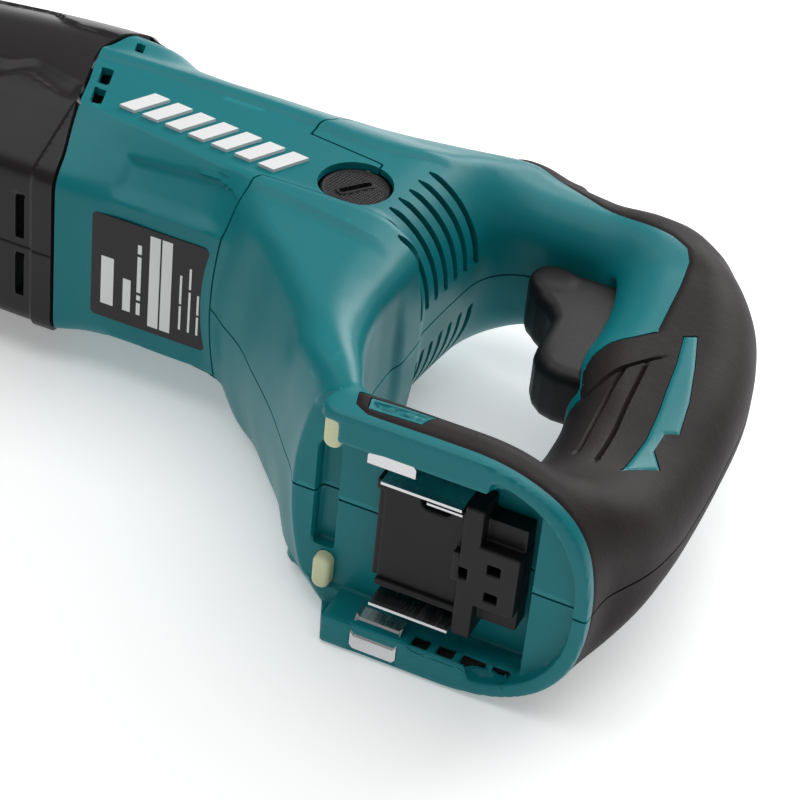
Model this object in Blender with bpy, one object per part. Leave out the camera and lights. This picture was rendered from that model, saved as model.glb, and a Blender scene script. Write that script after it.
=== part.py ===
"""Cordless reciprocating saw with a D-shaped rear handle and a slide-on battery foot.

Sizes are in millimetres in the saw's own frame: +X towards the grip, -X towards the blade, +Y towards
the top of the saw, -Y towards the battery foot, +Z towards its left side, with Z = 0 on the mid-plane.
The parent empty turns that into the part's frame, where the saw lies on its right side on Z = 0.
"""

import math

import bmesh
import bpy
from mathutils import Matrix, Vector

MM = 0.001
GAP = 0.3
SAW_ORIGIN = (224.9, -81.9, 40.0)

# Overall shell sizes
HALF_WIDTH = 39.5
HOUSING_FRONT = -150.0
HOUSING_SEAM = -82.0
SHELL = 3.0
MOTOR_Y = 101.0
BRUSH_X = -56.6
BRUSH_HOLE = 11.2
FOOT_RIM_Y = -1.2
FOOT_FRONT = -22.0
FOOT_REAR = 61.3
FOOT_ROUND = 20.0
FOOT_TOP = 12.0
RECESS_HALF = 30.0
RECESS_REAR = 43.7

# Drive train
PLUNGER_Y = 124.0
CRANK_X = -206.0
CRANK_RADIUS = 29.0
CRANK_THROW = 16.0
GEAR_Y = (109.3, 114.0)
YOKE_Y = (120.0, 131.0)
PINION_X = (-186.0, -174.0)
PINION_RADIUS = 7.4
PINION_TEETH = 9
CRANK_TEETH = 36
ROD_RADIUS = 8.0

# Front end
NOSE_FRONT = -322.0
CLAMP_FRONT = -392.0
SHOE_FRONT = -414.0
BLADE_TIP = -521.8
SHOE_PIN = (-398.0, 97.0)
BAR_Y = (94.5, 99.5)

# Rear handle
TRIGGER_HALF = 9.7
GRIP_SKIN = 2.0


def clear_scene():
    for item in list(bpy.data.objects):
        bpy.data.objects.remove(item, do_unlink=True)


def make_frame():
    frame = bpy.data.objects.new("saw_frame", None)
    frame.location = Vector(SAW_ORIGIN) * MM
    bpy.context.scene.collection.objects.link(frame)
    return frame


def material(name, colour, roughness, metallic=0.0):
    made = bpy.data.materials.new(name)
    made.use_nodes = True
    shader = made.node_tree.nodes["Principled BSDF"]
    shader.inputs["Base Color"].default_value = (*colour, 1.0)
    shader.inputs["Roughness"].default_value = roughness
    shader.inputs["Metallic"].default_value = metallic
    return made


def add_object(name, mesh_data, finish, smooth=35.0):
    """Link a bmesh as a named object under the saw's frame."""
    bmesh.ops.recalc_face_normals(mesh_data, faces=mesh_data.faces)
    mesh = bpy.data.meshes.new(name)
    mesh_data.to_mesh(mesh)
    mesh_data.free()
    mesh.materials.append(finish)
    if smooth:
        mesh.shade_smooth()
        mesh.set_sharp_from_angle(angle=math.radians(smooth))
    made = bpy.data.objects.new(name, mesh)
    made.parent = FRAME
    bpy.context.scene.collection.objects.link(made)
    return made


def loft(name, rings, finish, closed=False, smooth=35.0):
    """Skin equal rings of points; closed joins the last ring to the first instead of capping."""
    shape = bmesh.new()
    rows = [[shape.verts.new(Vector(point) * MM) for point in ring] for ring in rings]
    pairs = list(zip(rows, rows[1:]))
    if closed:
        pairs.append((rows[-1], rows[0]))
    for low, high in pairs:
        for index in range(len(low)):
            following = (index + 1) % len(low)
            shape.faces.new((low[index], low[following], high[following]))
            shape.faces.new((low[index], high[following], high[index]))
    if not closed:
        shape.faces.new(rows[0])
        shape.faces.new(rows[-1])
    return add_object(name, shape, finish, smooth)


def rounded(corners, steps=4):
    """A closed outline from (u, v, radius) corners, with each corner as an arc of steps + 1 points."""
    outline = []
    for index, (u, v, radius) in enumerate(corners):
        here = Vector((u, v))
        before = (Vector(corners[index - 1][:2]) - here).normalized()
        after = (Vector(corners[(index + 1) % len(corners)][:2]) - here).normalized()
        half = before.angle(after) / 2
        reach = radius / math.tan(half)
        centre = here + (before + after).normalized() * radius / math.sin(half)
        start = here + before * reach - centre
        turn = start.angle_signed(here + after * reach - centre)
        for step in range(steps + 1):
            outline.append(centre + Matrix.Rotation(-turn * step / steps, 2) @ start)
    return outline


def prism(name, outline, plane, low, high, finish, smooth=35.0):
    """Extrude an outline given in plane xy, xz or yz along the third axis; smooth 0 leaves it faceted."""
    place = {
        "xy": lambda u, v, w: (u, v, w),
        "xz": lambda u, v, w: (u, w, v),
        "yz": lambda u, v, w: (w, u, v),
    }[plane]
    rings = [[place(u, v, w) for u, v in outline] for w in (low, high)]
    return loft(name, rings, finish, smooth=smooth)


def block(name, low, high, finish, bevel=0.0):
    shape = bmesh.new()
    bmesh.ops.create_cube(shape, size=1.0)
    size = Vector(high) - Vector(low)
    middle = (Vector(high) + Vector(low)) / 2
    for vert in shape.verts:
        vert.co = (Vector(vert.co) * size + middle) * MM
    if bevel:
        bmesh.ops.bevel(
            shape, geom=shape.edges[:], offset=bevel * MM, segments=2, profile=0.5, affect="EDGES"
        )
    return add_object(name, shape, finish)


def turned(name, profile, centre, axis, finish, steps=24, smooth=35.0):
    """Turn a closed (radius, height) profile about an axis; radius 0 makes a pole."""
    along = Vector({"x": (1, 0, 0), "y": (0, 1, 0), "z": (0, 0, 1)}[axis])
    first = Vector({"x": (0, 1, 0), "y": (0, 0, 1), "z": (1, 0, 0)}[axis])
    second = along.cross(first)
    base = Vector(centre)
    shape = bmesh.new()
    rows = []
    for radius, height in profile:
        count = steps if radius else 1
        row = []
        for step in range(count):
            angle = 2 * math.pi * step / steps
            side = first * math.cos(angle) + second * math.sin(angle)
            row.append(shape.verts.new((base + along * height + side * radius) * MM))
        rows.append(row)
    solid_core = len(rows[0]) == 1 and len(rows[-1]) == 1
    pairs = list(zip(rows, rows[1:]))
    if not solid_core:
        pairs.append((rows[-1], rows[0]))
    for low, high in pairs:
        for step in range(steps):
            corners = [low[step % len(low)], low[(step + 1) % len(low)]]
            corners += [high[(step + 1) % len(high)], high[step % len(high)]]
            shape.faces.new(list(dict.fromkeys(corners)))
    return add_object(name, shape, finish, smooth)


def rod(name, radius, centre, axis, low, high, finish, steps=24):
    profile = [(0, low), (radius, low), (radius, high), (0, high)]
    return turned(name, profile, centre, axis, finish, steps)


def tube(name, inner, outer, centre, axis, low, high, finish, steps=24):
    profile = [(inner, low), (outer, low), (outer, high), (inner, high)]
    return turned(name, profile, centre, axis, finish, steps)


def hide(helper):
    helper.hide_render = True
    helper.display_type = "WIRE"
    return helper


def boolean(target, operation, *helpers):
    for helper in helpers:
        hide(helper)
        change = target.modifiers.new(helper.name, "BOOLEAN")
        change.operation = operation
        change.object = helper
        change.solver = "EXACT"
    return target


def cut(target, *helpers):
    return boolean(target, "DIFFERENCE", *helpers)


def join(target, *helpers):
    return boolean(target, "UNION", *helpers)


def shell_ring(x, bottom, flat, ridge, top, half, inset=0.0):
    """One cross-section of the casing: flat bottom, straight sides and a domed top."""
    low = bottom + inset
    high = top - inset
    side = half - inset
    rise = high - ridge
    scale = side / HALF_WIDTH
    right = [
        (low, flat - inset / 2, 8 * scale),
        (ridge, side, 6 * scale),
        (ridge + 0.42 * rise, side, 9 * scale),
        (high - 0.27 * rise, side * 0.84, 12 * scale),
        (high - 0.06 * rise, side * 0.5, 14 * scale),
    ]
    left = [(y, -z, radius) for y, z, radius in reversed(right)]
    return [(x, y, z) for y, z in rounded(right + left, 3)]


def flat_ring(y, front, rear, half, radius):
    """One level cross-section of the neck or grip, as a rounded rectangle."""
    corners = [(front, half, radius), (rear, half, radius), (rear, -half, radius), (front, -half, radius)]
    return [(x, y, z) for x, z in rounded(corners, 5)]


# Rows of the casing: x, bottom, half-width of the flat bottom, ridge height, top, half-width
CASING = (
    (HOUSING_FRONT, 69.5, 28.0, 92.0, 163.0, HALF_WIDTH),
    (-138.0, 72.0, 27.0, 91.0, 161.5, HALF_WIDTH),
    (-124.0, 73.0, 25.0, 89.0, 160.5, HALF_WIDTH),
    (HOUSING_SEAM, 73.0, 25.0, 86.0, 160.5, HALF_WIDTH),
)
CASING_REAR = (
    (HOUSING_SEAM, 73.0, 25.0, 86.0, 160.5, HALF_WIDTH),
    (-46.0, 74.0, 25.0, 84.0, 161.5, HALF_WIDTH),
    (-37.0, 76.0, 24.0, 86.0, 161.5, 36.0),
    (-30.0, 79.0, 20.0, 89.0, 161.0, 28.0),
    (-27.0, 84.0, 14.0, 93.0, 160.0, 20.0),
)
BOOT = (
    (-151.0, 69.0, 28.0, 92.0, 163.0, 40.0),
    (-170.0, 69.5, 28.0, 92.0, 162.0, 39.5),
    (-205.0, 72.0, 26.0, 92.0, 158.0, 38.0),
    (-245.0, 77.0, 22.0, 94.0, 153.0, 35.5),
    (-275.0, 82.0, 19.0, 97.0, 149.0, 31.0),
    (-300.0, 86.0, 16.0, 99.0, 147.0, 26.0),
)
# Rows of the grip: y, front x, rear x, half-width, corner radius
GRIP = (
    (162.0, 8.0, 30.0, 13.0, 9.0),
    (157.0, 4.0, 41.0, 18.0, 14.0),
    (147.0, 6.0, 51.0, 20.5, 17.0),
    (135.0, 15.0, 59.3, 20.0, 17.0),
    (118.0, 17.5, 65.5, 19.0, 17.0),
    (92.0, 18.0, 69.8, 18.0, 16.5),
    (72.0, 25.5, 71.0, 17.5, 16.0),
    (50.0, 28.0, 72.0, 18.5, 16.0),
    (34.0, 26.5, 71.0, 22.0, 17.0),
    (22.0, 20.0, 68.0, 28.0, 18.0),
    (8.0, 6.0, 58.0, 33.0, 20.0),
)
# Rows of the arm over the trigger: x, underside, top, half-width
ARM = (
    (-60.0, 128.0, 161.0, 30.0),
    (-24.0, 134.0, 164.5, 26.0),
    (0.0, 139.0, 165.0, 21.0),
    (26.0, 136.0, 163.0, 19.0),
)
# Rows of the neck under the motor: y, front x, rear x, half-width, corner radius
NECK = (
    (84.0, -81.0, -29.0, 38.5, 12.0),
    (72.6, -80.0, -29.0, 38.5, 12.0),
    (61.0, -67.5, -28.5, 38.3, 10.0),
    (37.0, -50.5, -24.0, 38.0, 9.0),
    (22.0, -39.0, -17.0, 37.5, 8.0),
    (10.0, -31.0, -2.0, 37.3, 5.0),
)


def casing_shell(name, rows, thickness, finish):
    """A tube of casing open at both ends."""
    outer = [shell_ring(*row) for row in rows]
    inner = [shell_ring(*row, inset=thickness) for row in reversed(rows)]
    return loft(name, outer + inner, finish, closed=True)


def foot_outline(inset=0.0, front=FOOT_FRONT):
    """Plan of the battery foot: square at the front and rounded at the rear."""
    half = HALF_WIDTH - inset
    reach = FOOT_REAR - inset - FOOT_ROUND
    outline = [(front, half)]
    for step in range(17):
        angle = math.pi / 2 - math.pi * step / 16
        x = FOOT_ROUND + reach * abs(math.cos(angle)) ** (2 / 2.4)
        z = half * math.copysign(abs(math.sin(angle)) ** (2 / 2.4), math.sin(angle))
        outline.append((x, z))
    outline.append((front, -half))
    return outline


def foot_block(name, inset, finish):
    levels = (
        (FOOT_RIM_Y, inset),
        (FOOT_TOP, inset),
        (FOOT_TOP + 4.0, inset + 5.0),
        (FOOT_TOP + 7.0, inset + 14.0),
    )
    rings = [[(x, y, z) for x, z in foot_outline(amount)] for y, amount in levels]
    return loft(name, rings, finish)


def arm_block(name, inset, finish):
    rings = []
    for x, low, high, half in ARM:
        side = half - inset
        right = [(low + inset, side, 10), (high - inset, side, 11)]
        left = [(y, -z, radius) for y, z, radius in reversed(right)]
        rings.append([(x, y, z) for y, z in rounded(right + left, 4)])
    return loft(name, rings, finish)


def grip_block(name, inset, finish):
    rings = [
        flat_ring(y - inset * (y > 155), front + inset, rear - inset, half - inset, radius - inset * 0.8)
        for y, front, rear, half, radius in GRIP
    ]
    return loft(name, rings, finish)


def handle_solid(name, inset, finish):
    """Arm, grip and foot as one helper, shrunk all round by inset."""
    whole = arm_block(name, inset, finish)
    grip = grip_block(name + "_grip", inset, finish)
    foot = foot_block(name + "_foot", inset, finish)
    return join(whole, grip, foot)


def cover_region(name, grown, finish):
    """The part of the handle that the soft skin covers: foot band, lower grip, back and top strip."""
    band = [(-8 - grown, 13 + grown), (-8 - grown, 2 - grown), (90, 2 - grown), (90, 180)]
    strip = [(-24 - grown, 180), (-24 - grown, 159 - grown), (20 - grown, 157 - grown)]
    grip = [(37 - grown, 142), (38 - grown, 104 + grown), (20 - grown, 92 + grown), (20 - grown, 14 + grown)]
    outline = band + strip + grip
    return prism(name, outline, "xy", -60, 60, finish)


def screw_places():
    """Handle screws, driven from the right side."""
    return ((-70.0, 128.0), (-62.0, 70.0), (-30.0, 26.0), (61.0, 48.0), (61.0, 112.0))


def grip_hollows(finish):
    """Hollows inside the handle halves: motor end, neck, grip, trigger slot and battery recess."""
    rear = [shell_ring(*row, inset=SHELL) for row in CASING_REAR[:3]]
    first = [(x - 4.0, y, z) for x, y, z in rear[0]]
    rear[-1] = [(x - 1.5, y, z) for x, y, z in rear[-1]]
    motor = loft("motor_hollow", [first] + rear[1:], finish)
    shrunk = [
        flat_ring(y, front + 4.5, rear - 4.5, half - 3.5, radius / 2)
        for y, front, rear, half, radius in NECK[:5]
    ]
    neck = loft("neck_hollow", shrunk, finish)
    grip = block("grip_hollow", (31.5, 62, -13.0), (57.5, 141, 13.0), finish)
    trigger_side = TRIGGER_HALF + 0.6
    slot = block("trigger_slot", (-5, 77.5, -trigger_side), (31.8, 134.5, trigger_side), finish)
    ceiling = FOOT_TOP - 0.2
    recess = block("battery_recess", (-60, -20, -RECESS_HALF), (RECESS_REAR, ceiling, RECESS_HALF), finish)
    brush = rod("brush_openings", BRUSH_HOLE, (BRUSH_X, MOTOR_Y, 0), "z", -60, 60, finish)
    return motor, neck, grip, slot, recess, brush


def handle_halves():
    """Teal handle halves that meet on the mid-plane, and the soft skin over each."""
    outer = handle_solid("handle_outer", 0.0, TEAL)
    core = handle_solid("handle_core", GRIP_SKIN, TEAL)
    trimmed = cut(outer, cover_region("cover_grown", GAP, TEAL))
    body = loft("handle_body", [shell_ring(*row) for row in CASING_REAR], TEAL)
    for point in body.data.vertices:
        if point.co.x < (HOUSING_SEAM + 0.01) * MM:
            point.co.x += 0.4 * MM
    neck = loft("handle_neck", [flat_ring(*row) for row in NECK], TEAL)
    join(body, neck, trimmed, core)
    cut(body, *grip_hollows(TEAL))
    skin = handle_solid("skin_outer", 0.0, ELASTOMER)
    boolean(skin, "INTERSECT", cover_region("cover_exact", 0.0, ELASTOMER))
    cut(skin, handle_solid("skin_core", GRIP_SKIN - GAP, ELASTOMER))
    cut(skin, block("skin_slot", (-10, 76, -12), (30, 136, 12), ELASTOMER))
    hide(body)
    hide(skin)
    for side, sign in (("left", 1), ("right", -1)):
        limits = sorted((0.15 * sign, 60 * sign))
        for name, source, finish in (("handle_", body, TEAL), ("grip_cover_", skin, ELASTOMER)):
            half = block(name + side, (-120, -30, limits[0]), (110, 190, limits[1]), finish)
            boolean(half, "INTERSECT", source)
            if sign < 0:
                drill_screw_holes(half, name)


def drill_screw_holes(half, name):
    for index, (x, y) in enumerate(screw_places()):
        cut(half, rod(f"{name}hole_{index}", 3.6, (x, y, 0), "z", -60, -6, TEAL, steps=16))


def handle_screws():
    depths = (-33.0, -33.0, -33.0, -14.5, -14.5)
    for index, ((x, y), head) in enumerate(zip(screw_places(), depths)):
        shank = [(0, -7), (1.6, -7), (1.6, head + 3)]
        profile = shank + [(3.3, head + 3), (3.3, head), (1.5, head), (0, head + 1.6)]
        turned(f"handle_screw_{index + 1}", profile, (x, y, 0), "z", STEEL, steps=16)


def motor_group():
    """Brushed motor: can, magnets, armature, fan, bearings and brushes on the motor axis."""
    axis = (0, MOTOR_Y, 0)
    tube("motor_can", 23.3, 24.8, axis, "x", -128, -72, STEEL, steps=48)
    for name, start in (("magnet_upper", 30), ("magnet_lower", 210)):
        arc = [math.radians(start + step * 12) for step in range(11)]
        outline = [(MOTOR_Y + 22.9 * math.sin(a), 22.9 * math.cos(a)) for a in arc]
        outline += [(MOTOR_Y + 20.4 * math.sin(a), 20.4 * math.cos(a)) for a in reversed(arc)]
        prism(name, outline, "yz", -122, -76, MAGNET)
    armature_core(axis)
    rod("motor_shaft", 4.0, axis, "x", PINION_X[0] - 0.4, -41, STEEL, steps=24)
    tube("commutator", 4.3, 10.0, axis, "x", -66, -48, COPPER, steps=24)
    cooling_fan(axis)
    tube("motor_bearing_front", 4.3, 10.6, axis, "x", -159.5, -153.5, STEEL)
    tube("motor_bearing_rear", 4.3, 9.0, axis, "x", -47, -42, STEEL)
    for side, sign in (("left", 1), ("right", -1)):
        place = (BRUSH_X, MOTOR_Y, 0)
        cap = [(0, 33), (10.0, 33), (10.0, 35.5), (10.7, 35.5), (10.7, 39.0), (0, 39.0)]
        turned(f"brush_cap_{side}", [(r, h * sign) for r, h in cap], place, "z", PLASTIC)
        low, high = sorted((10.4 * sign, 21 * sign))
        near = (BRUSH_X - 5, MOTOR_Y - 3, low)
        block(f"carbon_brush_{side}", near, (BRUSH_X + 5, MOTOR_Y + 3, high), CARBON)
        brush_spring(f"brush_spring_{side}", sign)


def armature_core(axis):
    """Laminated stack with twelve winding slots."""
    outline = []
    for slot in range(12):
        base = 2 * math.pi * slot / 12
        for offset, radius in ((-0.20, 19.6), (0.0, 19.8), (0.20, 19.6), (0.215, 12.5), (0.31, 12.5)):
            outline.append((MOTOR_Y + radius * math.sin(base + offset), radius * math.cos(base + offset)))
    core = prism("armature_core", outline, "yz", -121, -77, STEEL)
    cut(core, rod("armature_bore", 4.3, axis, "x", -130, -70, STEEL, steps=24))


def cooling_fan(axis):
    """Back plate with curved blades, one body."""
    fan = tube("cooling_fan", 4.3, 23.0, axis, "x", -133, -131.4, PLASTIC)
    blades = 11
    for index in range(blades):
        turn = 2 * math.pi * index / blades
        arc = [(8 + 15 * step / 4, turn + 0.35 * (step / 4) ** 2) for step in range(5)]
        outline = [(MOTOR_Y + r * math.sin(a), r * math.cos(a)) for r, a in arc]
        outline += [(MOTOR_Y + r * math.sin(a + 0.07), r * math.cos(a + 0.07)) for r, a in reversed(arc)]
        join(fan, prism(f"fan_blade_{index}", outline, "yz", -142, -132, PLASTIC))


def brush_spring(name, sign):
    """A coil spring behind the carbon brush, as a bevelled helix."""
    turns = 4
    points = 33
    curve = bpy.data.curves.new(name, "CURVE")
    curve.dimensions = "3D"
    curve.bevel_depth = 0.35 * MM
    curve.bevel_resolution = 1
    curve.use_fill_caps = True
    path = curve.splines.new("POLY")
    path.points.add(points - 1)
    for index, point in enumerate(path.points):
        angle = 2 * math.pi * turns * index / (points - 1)
        height = (21.7 + 10.4 * index / (points - 1)) * sign
        x = BRUSH_X + 2.4 * math.cos(angle)
        point.co = (x * MM, (MOTOR_Y + 2.4 * math.sin(angle)) * MM, height * MM, 1)
    curve.materials.append(STEEL)
    made = bpy.data.objects.new(name, curve)
    made.parent = FRAME
    bpy.context.scene.collection.objects.link(made)


def gear_group():
    """Pinion, crank gear, crank pin, yoke and plunger with their bearings and guides."""
    toothed_wheel("pinion", "x", (0, MOTOR_Y, 0), PINION_X, 4.3, PINION_RADIUS, PINION_TEETH, 1.7)
    toothed_wheel("crank_gear", "y", (CRANK_X, 0, 0), GEAR_Y, 6.3, CRANK_RADIUS, CRANK_TEETH, 1.9)
    rod("crank_spindle", 6.0, (CRANK_X, 0, 0), "y", 82, 113.6, STEEL, steps=24)
    tube("crank_bearing", 6.3, 11.7, (CRANK_X, 0, 0), "y", 84, 94, STEEL)
    rod("crank_pin", 4.6, (CRANK_X, 0, CRANK_THROW), "y", GEAR_Y[1] + GAP, YOKE_Y[0] - 0.5, STEEL, steps=24)
    yoke = block("plunger_yoke", (-232, YOKE_Y[0], -24), (-194, YOKE_Y[1], 24), STEEL, bevel=1.0)
    slot = [(CRANK_X - 4.9, 21.5, 4.6), (CRANK_X + 4.9, 21.5, 4.6)]
    slot += [(CRANK_X + 4.9, -21.5, 4.6), (CRANK_X - 4.9, -21.5, 4.6)]
    cut(yoke, prism("yoke_slot", rounded(slot, 4), "xz", 110, 140, STEEL))
    rod("plunger_rod", ROD_RADIUS, (0, PLUNGER_Y, 0), "x", -371.7, -232.3, CHROME, steps=32)
    for side, sign in (("left", 1), ("right", -1)):
        low, high = sorted((24.3 * sign, 26.2 * sign))
        block(f"slide_guide_{side}", (-252, YOKE_Y[0] - 1, low), (-176, YOKE_Y[1] + 1, high), STEEL)
    tube("plunger_bush", ROD_RADIUS + GAP, 11.6, (0, PLUNGER_Y, 0), "x", -314, -288, BRASS)
    tube("plunger_seal", ROD_RADIUS + GAP, 11.6, (0, PLUNGER_Y, 0), "x", -319.5, -314.4, RUBBER)


def toothed_wheel(name, axis, centre, span, bore, radius, teeth, depth):
    """Disc with a plain tooth at each pitch and a bore."""
    outline = []
    for index in range(teeth):
        base = 2 * math.pi * index / teeth
        pitch = 2 * math.pi / teeth
        for offset, height in ((0.0, 0), (0.28, 1), (0.5, 1), (0.78, 0)):
            reach = radius - depth * (1 - height)
            outline.append((reach * math.sin(base + offset * pitch), reach * math.cos(base + offset * pitch)))
    if axis == "x":
        outline = [(centre[1] + u, centre[2] + v) for u, v in outline]
        wheel = prism(name, outline, "yz", *span, STEEL)
    else:
        outline = [(centre[0] + u, centre[2] + v) for u, v in outline]
        wheel = prism(name, outline, "xz", *span, STEEL)
    return cut(wheel, rod(name + "_bore", bore, centre, axis, span[0] - 9, span[1] + 9, STEEL, steps=24))


def front_casings():
    """Gear housing, the plate that closes its back, and the rubber boot over it."""
    wall = 3.6
    rows = []
    for x, low, flat, ridge, top, half in BOOT:
        rows.append((x, low + wall, flat - 3.0, ridge, top - wall, half - wall))
    rows[0] = (-152.5, *rows[0][1:])
    rows.append((-303.0, 90.0, 12.5, 100.0, 143.0, 21.8))
    rows.append((NOSE_FRONT, 90.0, 12.5, 100.0, 142.0, 20.5))
    housing = loft("gear_housing", [shell_ring(*row) for row in rows], ALUMINIUM)
    chamber = block("gear_chamber", (-238, 98, -30.2), (-140, 116.4, 30.2), ALUMINIUM)
    upper = block("yoke_chamber", (-256, 110, -26.6), (-141, 133, 26.6), ALUMINIUM)
    entry = block("pinion_space", (-190, 87, -14), (-142, 112, 14), ALUMINIUM)
    bore = rod("bush_bore", 12.0, (0, PLUNGER_Y, 0), "x", -340, -250, ALUMINIUM)
    seat = rod("crank_bearing_bore", 12.0, (CRANK_X, 0, 0), "y", 80, 110, ALUMINIUM)
    channel = block("bar_channel", (-340, BAR_Y[0] - 0.4, -11.4), (-262, BAR_Y[1] + 0.4, 11.4), ALUMINIUM)
    button = rod("button_bore", 6.4, (-283, 92, 0), "z", 12, 60, ALUMINIUM, steps=24)
    cut(housing, chamber, upper, entry, bore, seat, channel, button)
    plate = block("bearing_bracket", (-160, 98.4, -26.2), (-153, 132.6, 26.2), ALUMINIUM)
    join(plate, block("bracket_foot", (-160, 87.4, -13.6), (-153, 110, 13.6), ALUMINIUM))
    cut(plate, rod("bracket_bore", 11.0, (0, MOTOR_Y, 0), "x", -170, -140, ALUMINIUM))
    boot = casing_shell("boot_cover", BOOT, 2.6, ELASTOMER)
    cut(boot, rod("boot_button_hole", 7.0, (-283, 92, 0), "z", 12, 60, ELASTOMER, steps=24))
    button = [(0, 21), (6.0, 21), (6.0, 29.5), (5.2, 30.3), (0, 30.3)]
    turned("shoe_lock_button", button, (-283, 92, 0), "z", PLASTIC, 24)


def front_end():
    """Blade clamp, blade, adjustable shoe and its slide bar."""
    tube("clamp_sleeve", 10.4, 13.4, (0, PLUNGER_Y, 0), "x", CLAMP_FRONT + 4, -368, STEEL)
    clamp = turned(
        "blade_clamp",
        [(0, CLAMP_FRONT), (8.6, CLAMP_FRONT), (10.0, CLAMP_FRONT + 1.5), (10.0, -372.0), (0, -372.0)],
        (0, PLUNGER_Y, 0), "x", STEEL,
    )
    slot = block("blade_slot", (CLAMP_FRONT - 5, PLUNGER_Y - 6.6, -0.9), (-374, PLUNGER_Y + 6.6, 0.9), STEEL)
    cut(clamp, slot)
    saw_blade()
    bar = block("shoe_slide_bar", (-404, BAR_Y[0], -11), (-266, BAR_Y[1], 11), STEEL)
    cut(bar, block("bar_fork", (-410, 80, -7.5), (-391, 110, 7.5), STEEL))
    cut(bar, rod("bar_pin_hole", 2.4, (*SHOE_PIN, 0), "z", -20, 20, STEEL, steps=16))
    shoe_plate()
    rod("shoe_pivot_pin", 2.1, (*SHOE_PIN, 0), "z", -15.6, 15.6, STEEL, steps=16)


def saw_blade():
    """Flat blade with a toothed lower edge, a sloping tip and a narrow shank."""
    top = PLUNGER_Y + 9.0
    low = PLUNGER_Y - 9.0
    first, last, pitch = -404.0, BLADE_TIP + 8.0, 4.2
    outline = [(-376, PLUNGER_Y - 5.5), (-393.5, PLUNGER_Y - 5.5), (-398, low)]
    count = int((first - last) / pitch)
    for index in range(count):
        x = first - index * pitch
        outline += [(x, low + 1.6), (x - pitch + 0.5, low)]
    outline += [(BLADE_TIP, low + 4), (BLADE_TIP + 12, top), (-400, top)]
    outline += [(-394, PLUNGER_Y + 5.5), (-376, PLUNGER_Y + 5.5)]
    prism("saw_blade", outline, "xy", -0.5, 0.5, CHROME, smooth=0)


def shoe_plate():
    """Front plate with a window for the blade and two ears on the pivot pin."""
    face = rounded([(86, 16, 5), (150, 13, 8), (150, -13, 8), (86, -16, 5)], 4)
    plate = prism("shoe_plate", face, "yz", SHOE_FRONT, SHOE_FRONT + 3, STEEL)
    for index, low in enumerate((-14.8, 11.6)):
        ear = [(SHOE_FRONT + 2, 90, 1), (-393, 90, 4), (-393, 104, 4), (SHOE_FRONT + 2, 104, 1)]
        join(plate, prism(f"shoe_ear_{index}", rounded(ear, 3), "xy", low, low + 3.2, STEEL))
    window = rounded([(106, 7, 4), (144, 7, 4), (144, -7, 4), (106, -7, 4)], 3)
    cut(plate, prism("shoe_window", window, "yz", -430, -400, STEEL))
    cut(plate, rod("shoe_pin_hole", 2.4, (*SHOE_PIN, 0), "z", -20, 20, STEEL, steps=16))


def trigger_group():
    """Trigger with a hollowed finger face, and the switch behind it."""
    lip = [(10.0, 133.8), (-1.0, 133.2), (-5.6, 130.5), (-7.0, 124.5), (-4.6, 117.0)]
    finger_face = [(-0.6, 111.0), (2.4, 103.0), (3.2, 96.0), (4.2, 91.0), (7.6, 86.6)]
    nose = [(9.0, 82.0), (12.0, 78.6), (16.0, 78.2), (26.0, 79.0), (26.0, 133.4)]
    prism("trigger", lip + finger_face + nose, "xy", -TRIGGER_HALF, TRIGGER_HALF, PLASTIC)
    body = block("switch_body", (35, 84, -11), (55, 132, 11), PLASTIC, bevel=0.6)
    join(body, rod("switch_plunger", 3.0, (0, 108, 0), "x", 33.6, 40, PLASTIC, steps=16))


def battery_foot():
    """Terminal block, blade terminals, rail plates and rubber bumpers inside the foot."""
    ceiling = FOOT_TOP - 0.5
    holder = block("terminal_block", (-3, 5.5, -17.4), (40.4, ceiling, 17.4), PLASTIC)
    cross = block("terminal_cross", (23.6, 1.4, -22), (29, ceiling, 22), PLASTIC)
    stem = block("terminal_stem", (23.6, 1.4, -10), (40.4, ceiling, 10), PLASTIC)
    join(holder, cross, stem)
    cut(holder, block("socket_a", (31.5, -2, 2.0), (35.3, 6, 5.6), PLASTIC))
    cut(holder, block("socket_b", (31.5, -2, -7.5), (35.3, 6, -4.0), PLASTIC))
    block("terminal_negative", (0, 0, 20.6), (23.2, ceiling, 21.5), STEEL)
    block("terminal_positive", (0, 0, -21.5), (23.2, ceiling, -20.6), STEEL)
    block("terminal_signal", (13, 1, 18.4), (23.2, ceiling, 19.1), STEEL)
    for side, sign in (("left", 1), ("right", -1)):
        low, high = sorted((29.0 * sign, 29.7 * sign))
        block(f"rail_plate_{side}", (-2, -1.0, low), (9.7, 4.0, high), CHROME)
        low, high = sorted((19.0 * sign, 29.0 * sign))
        block(f"foot_bumper_{side}", (-21.5, 6.5, low), (-17.5, ceiling, high), CREAM, bevel=1.0)


def name_plate():
    outline = rounded([(-127, 17.5, 2), (-89.5, 17.5, 2), (-89.5, -17.5, 2), (-127, -17.5, 2)], 3)
    prism("name_plate", outline, "xz", 72.3, 72.7, PLASTIC)


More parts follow.
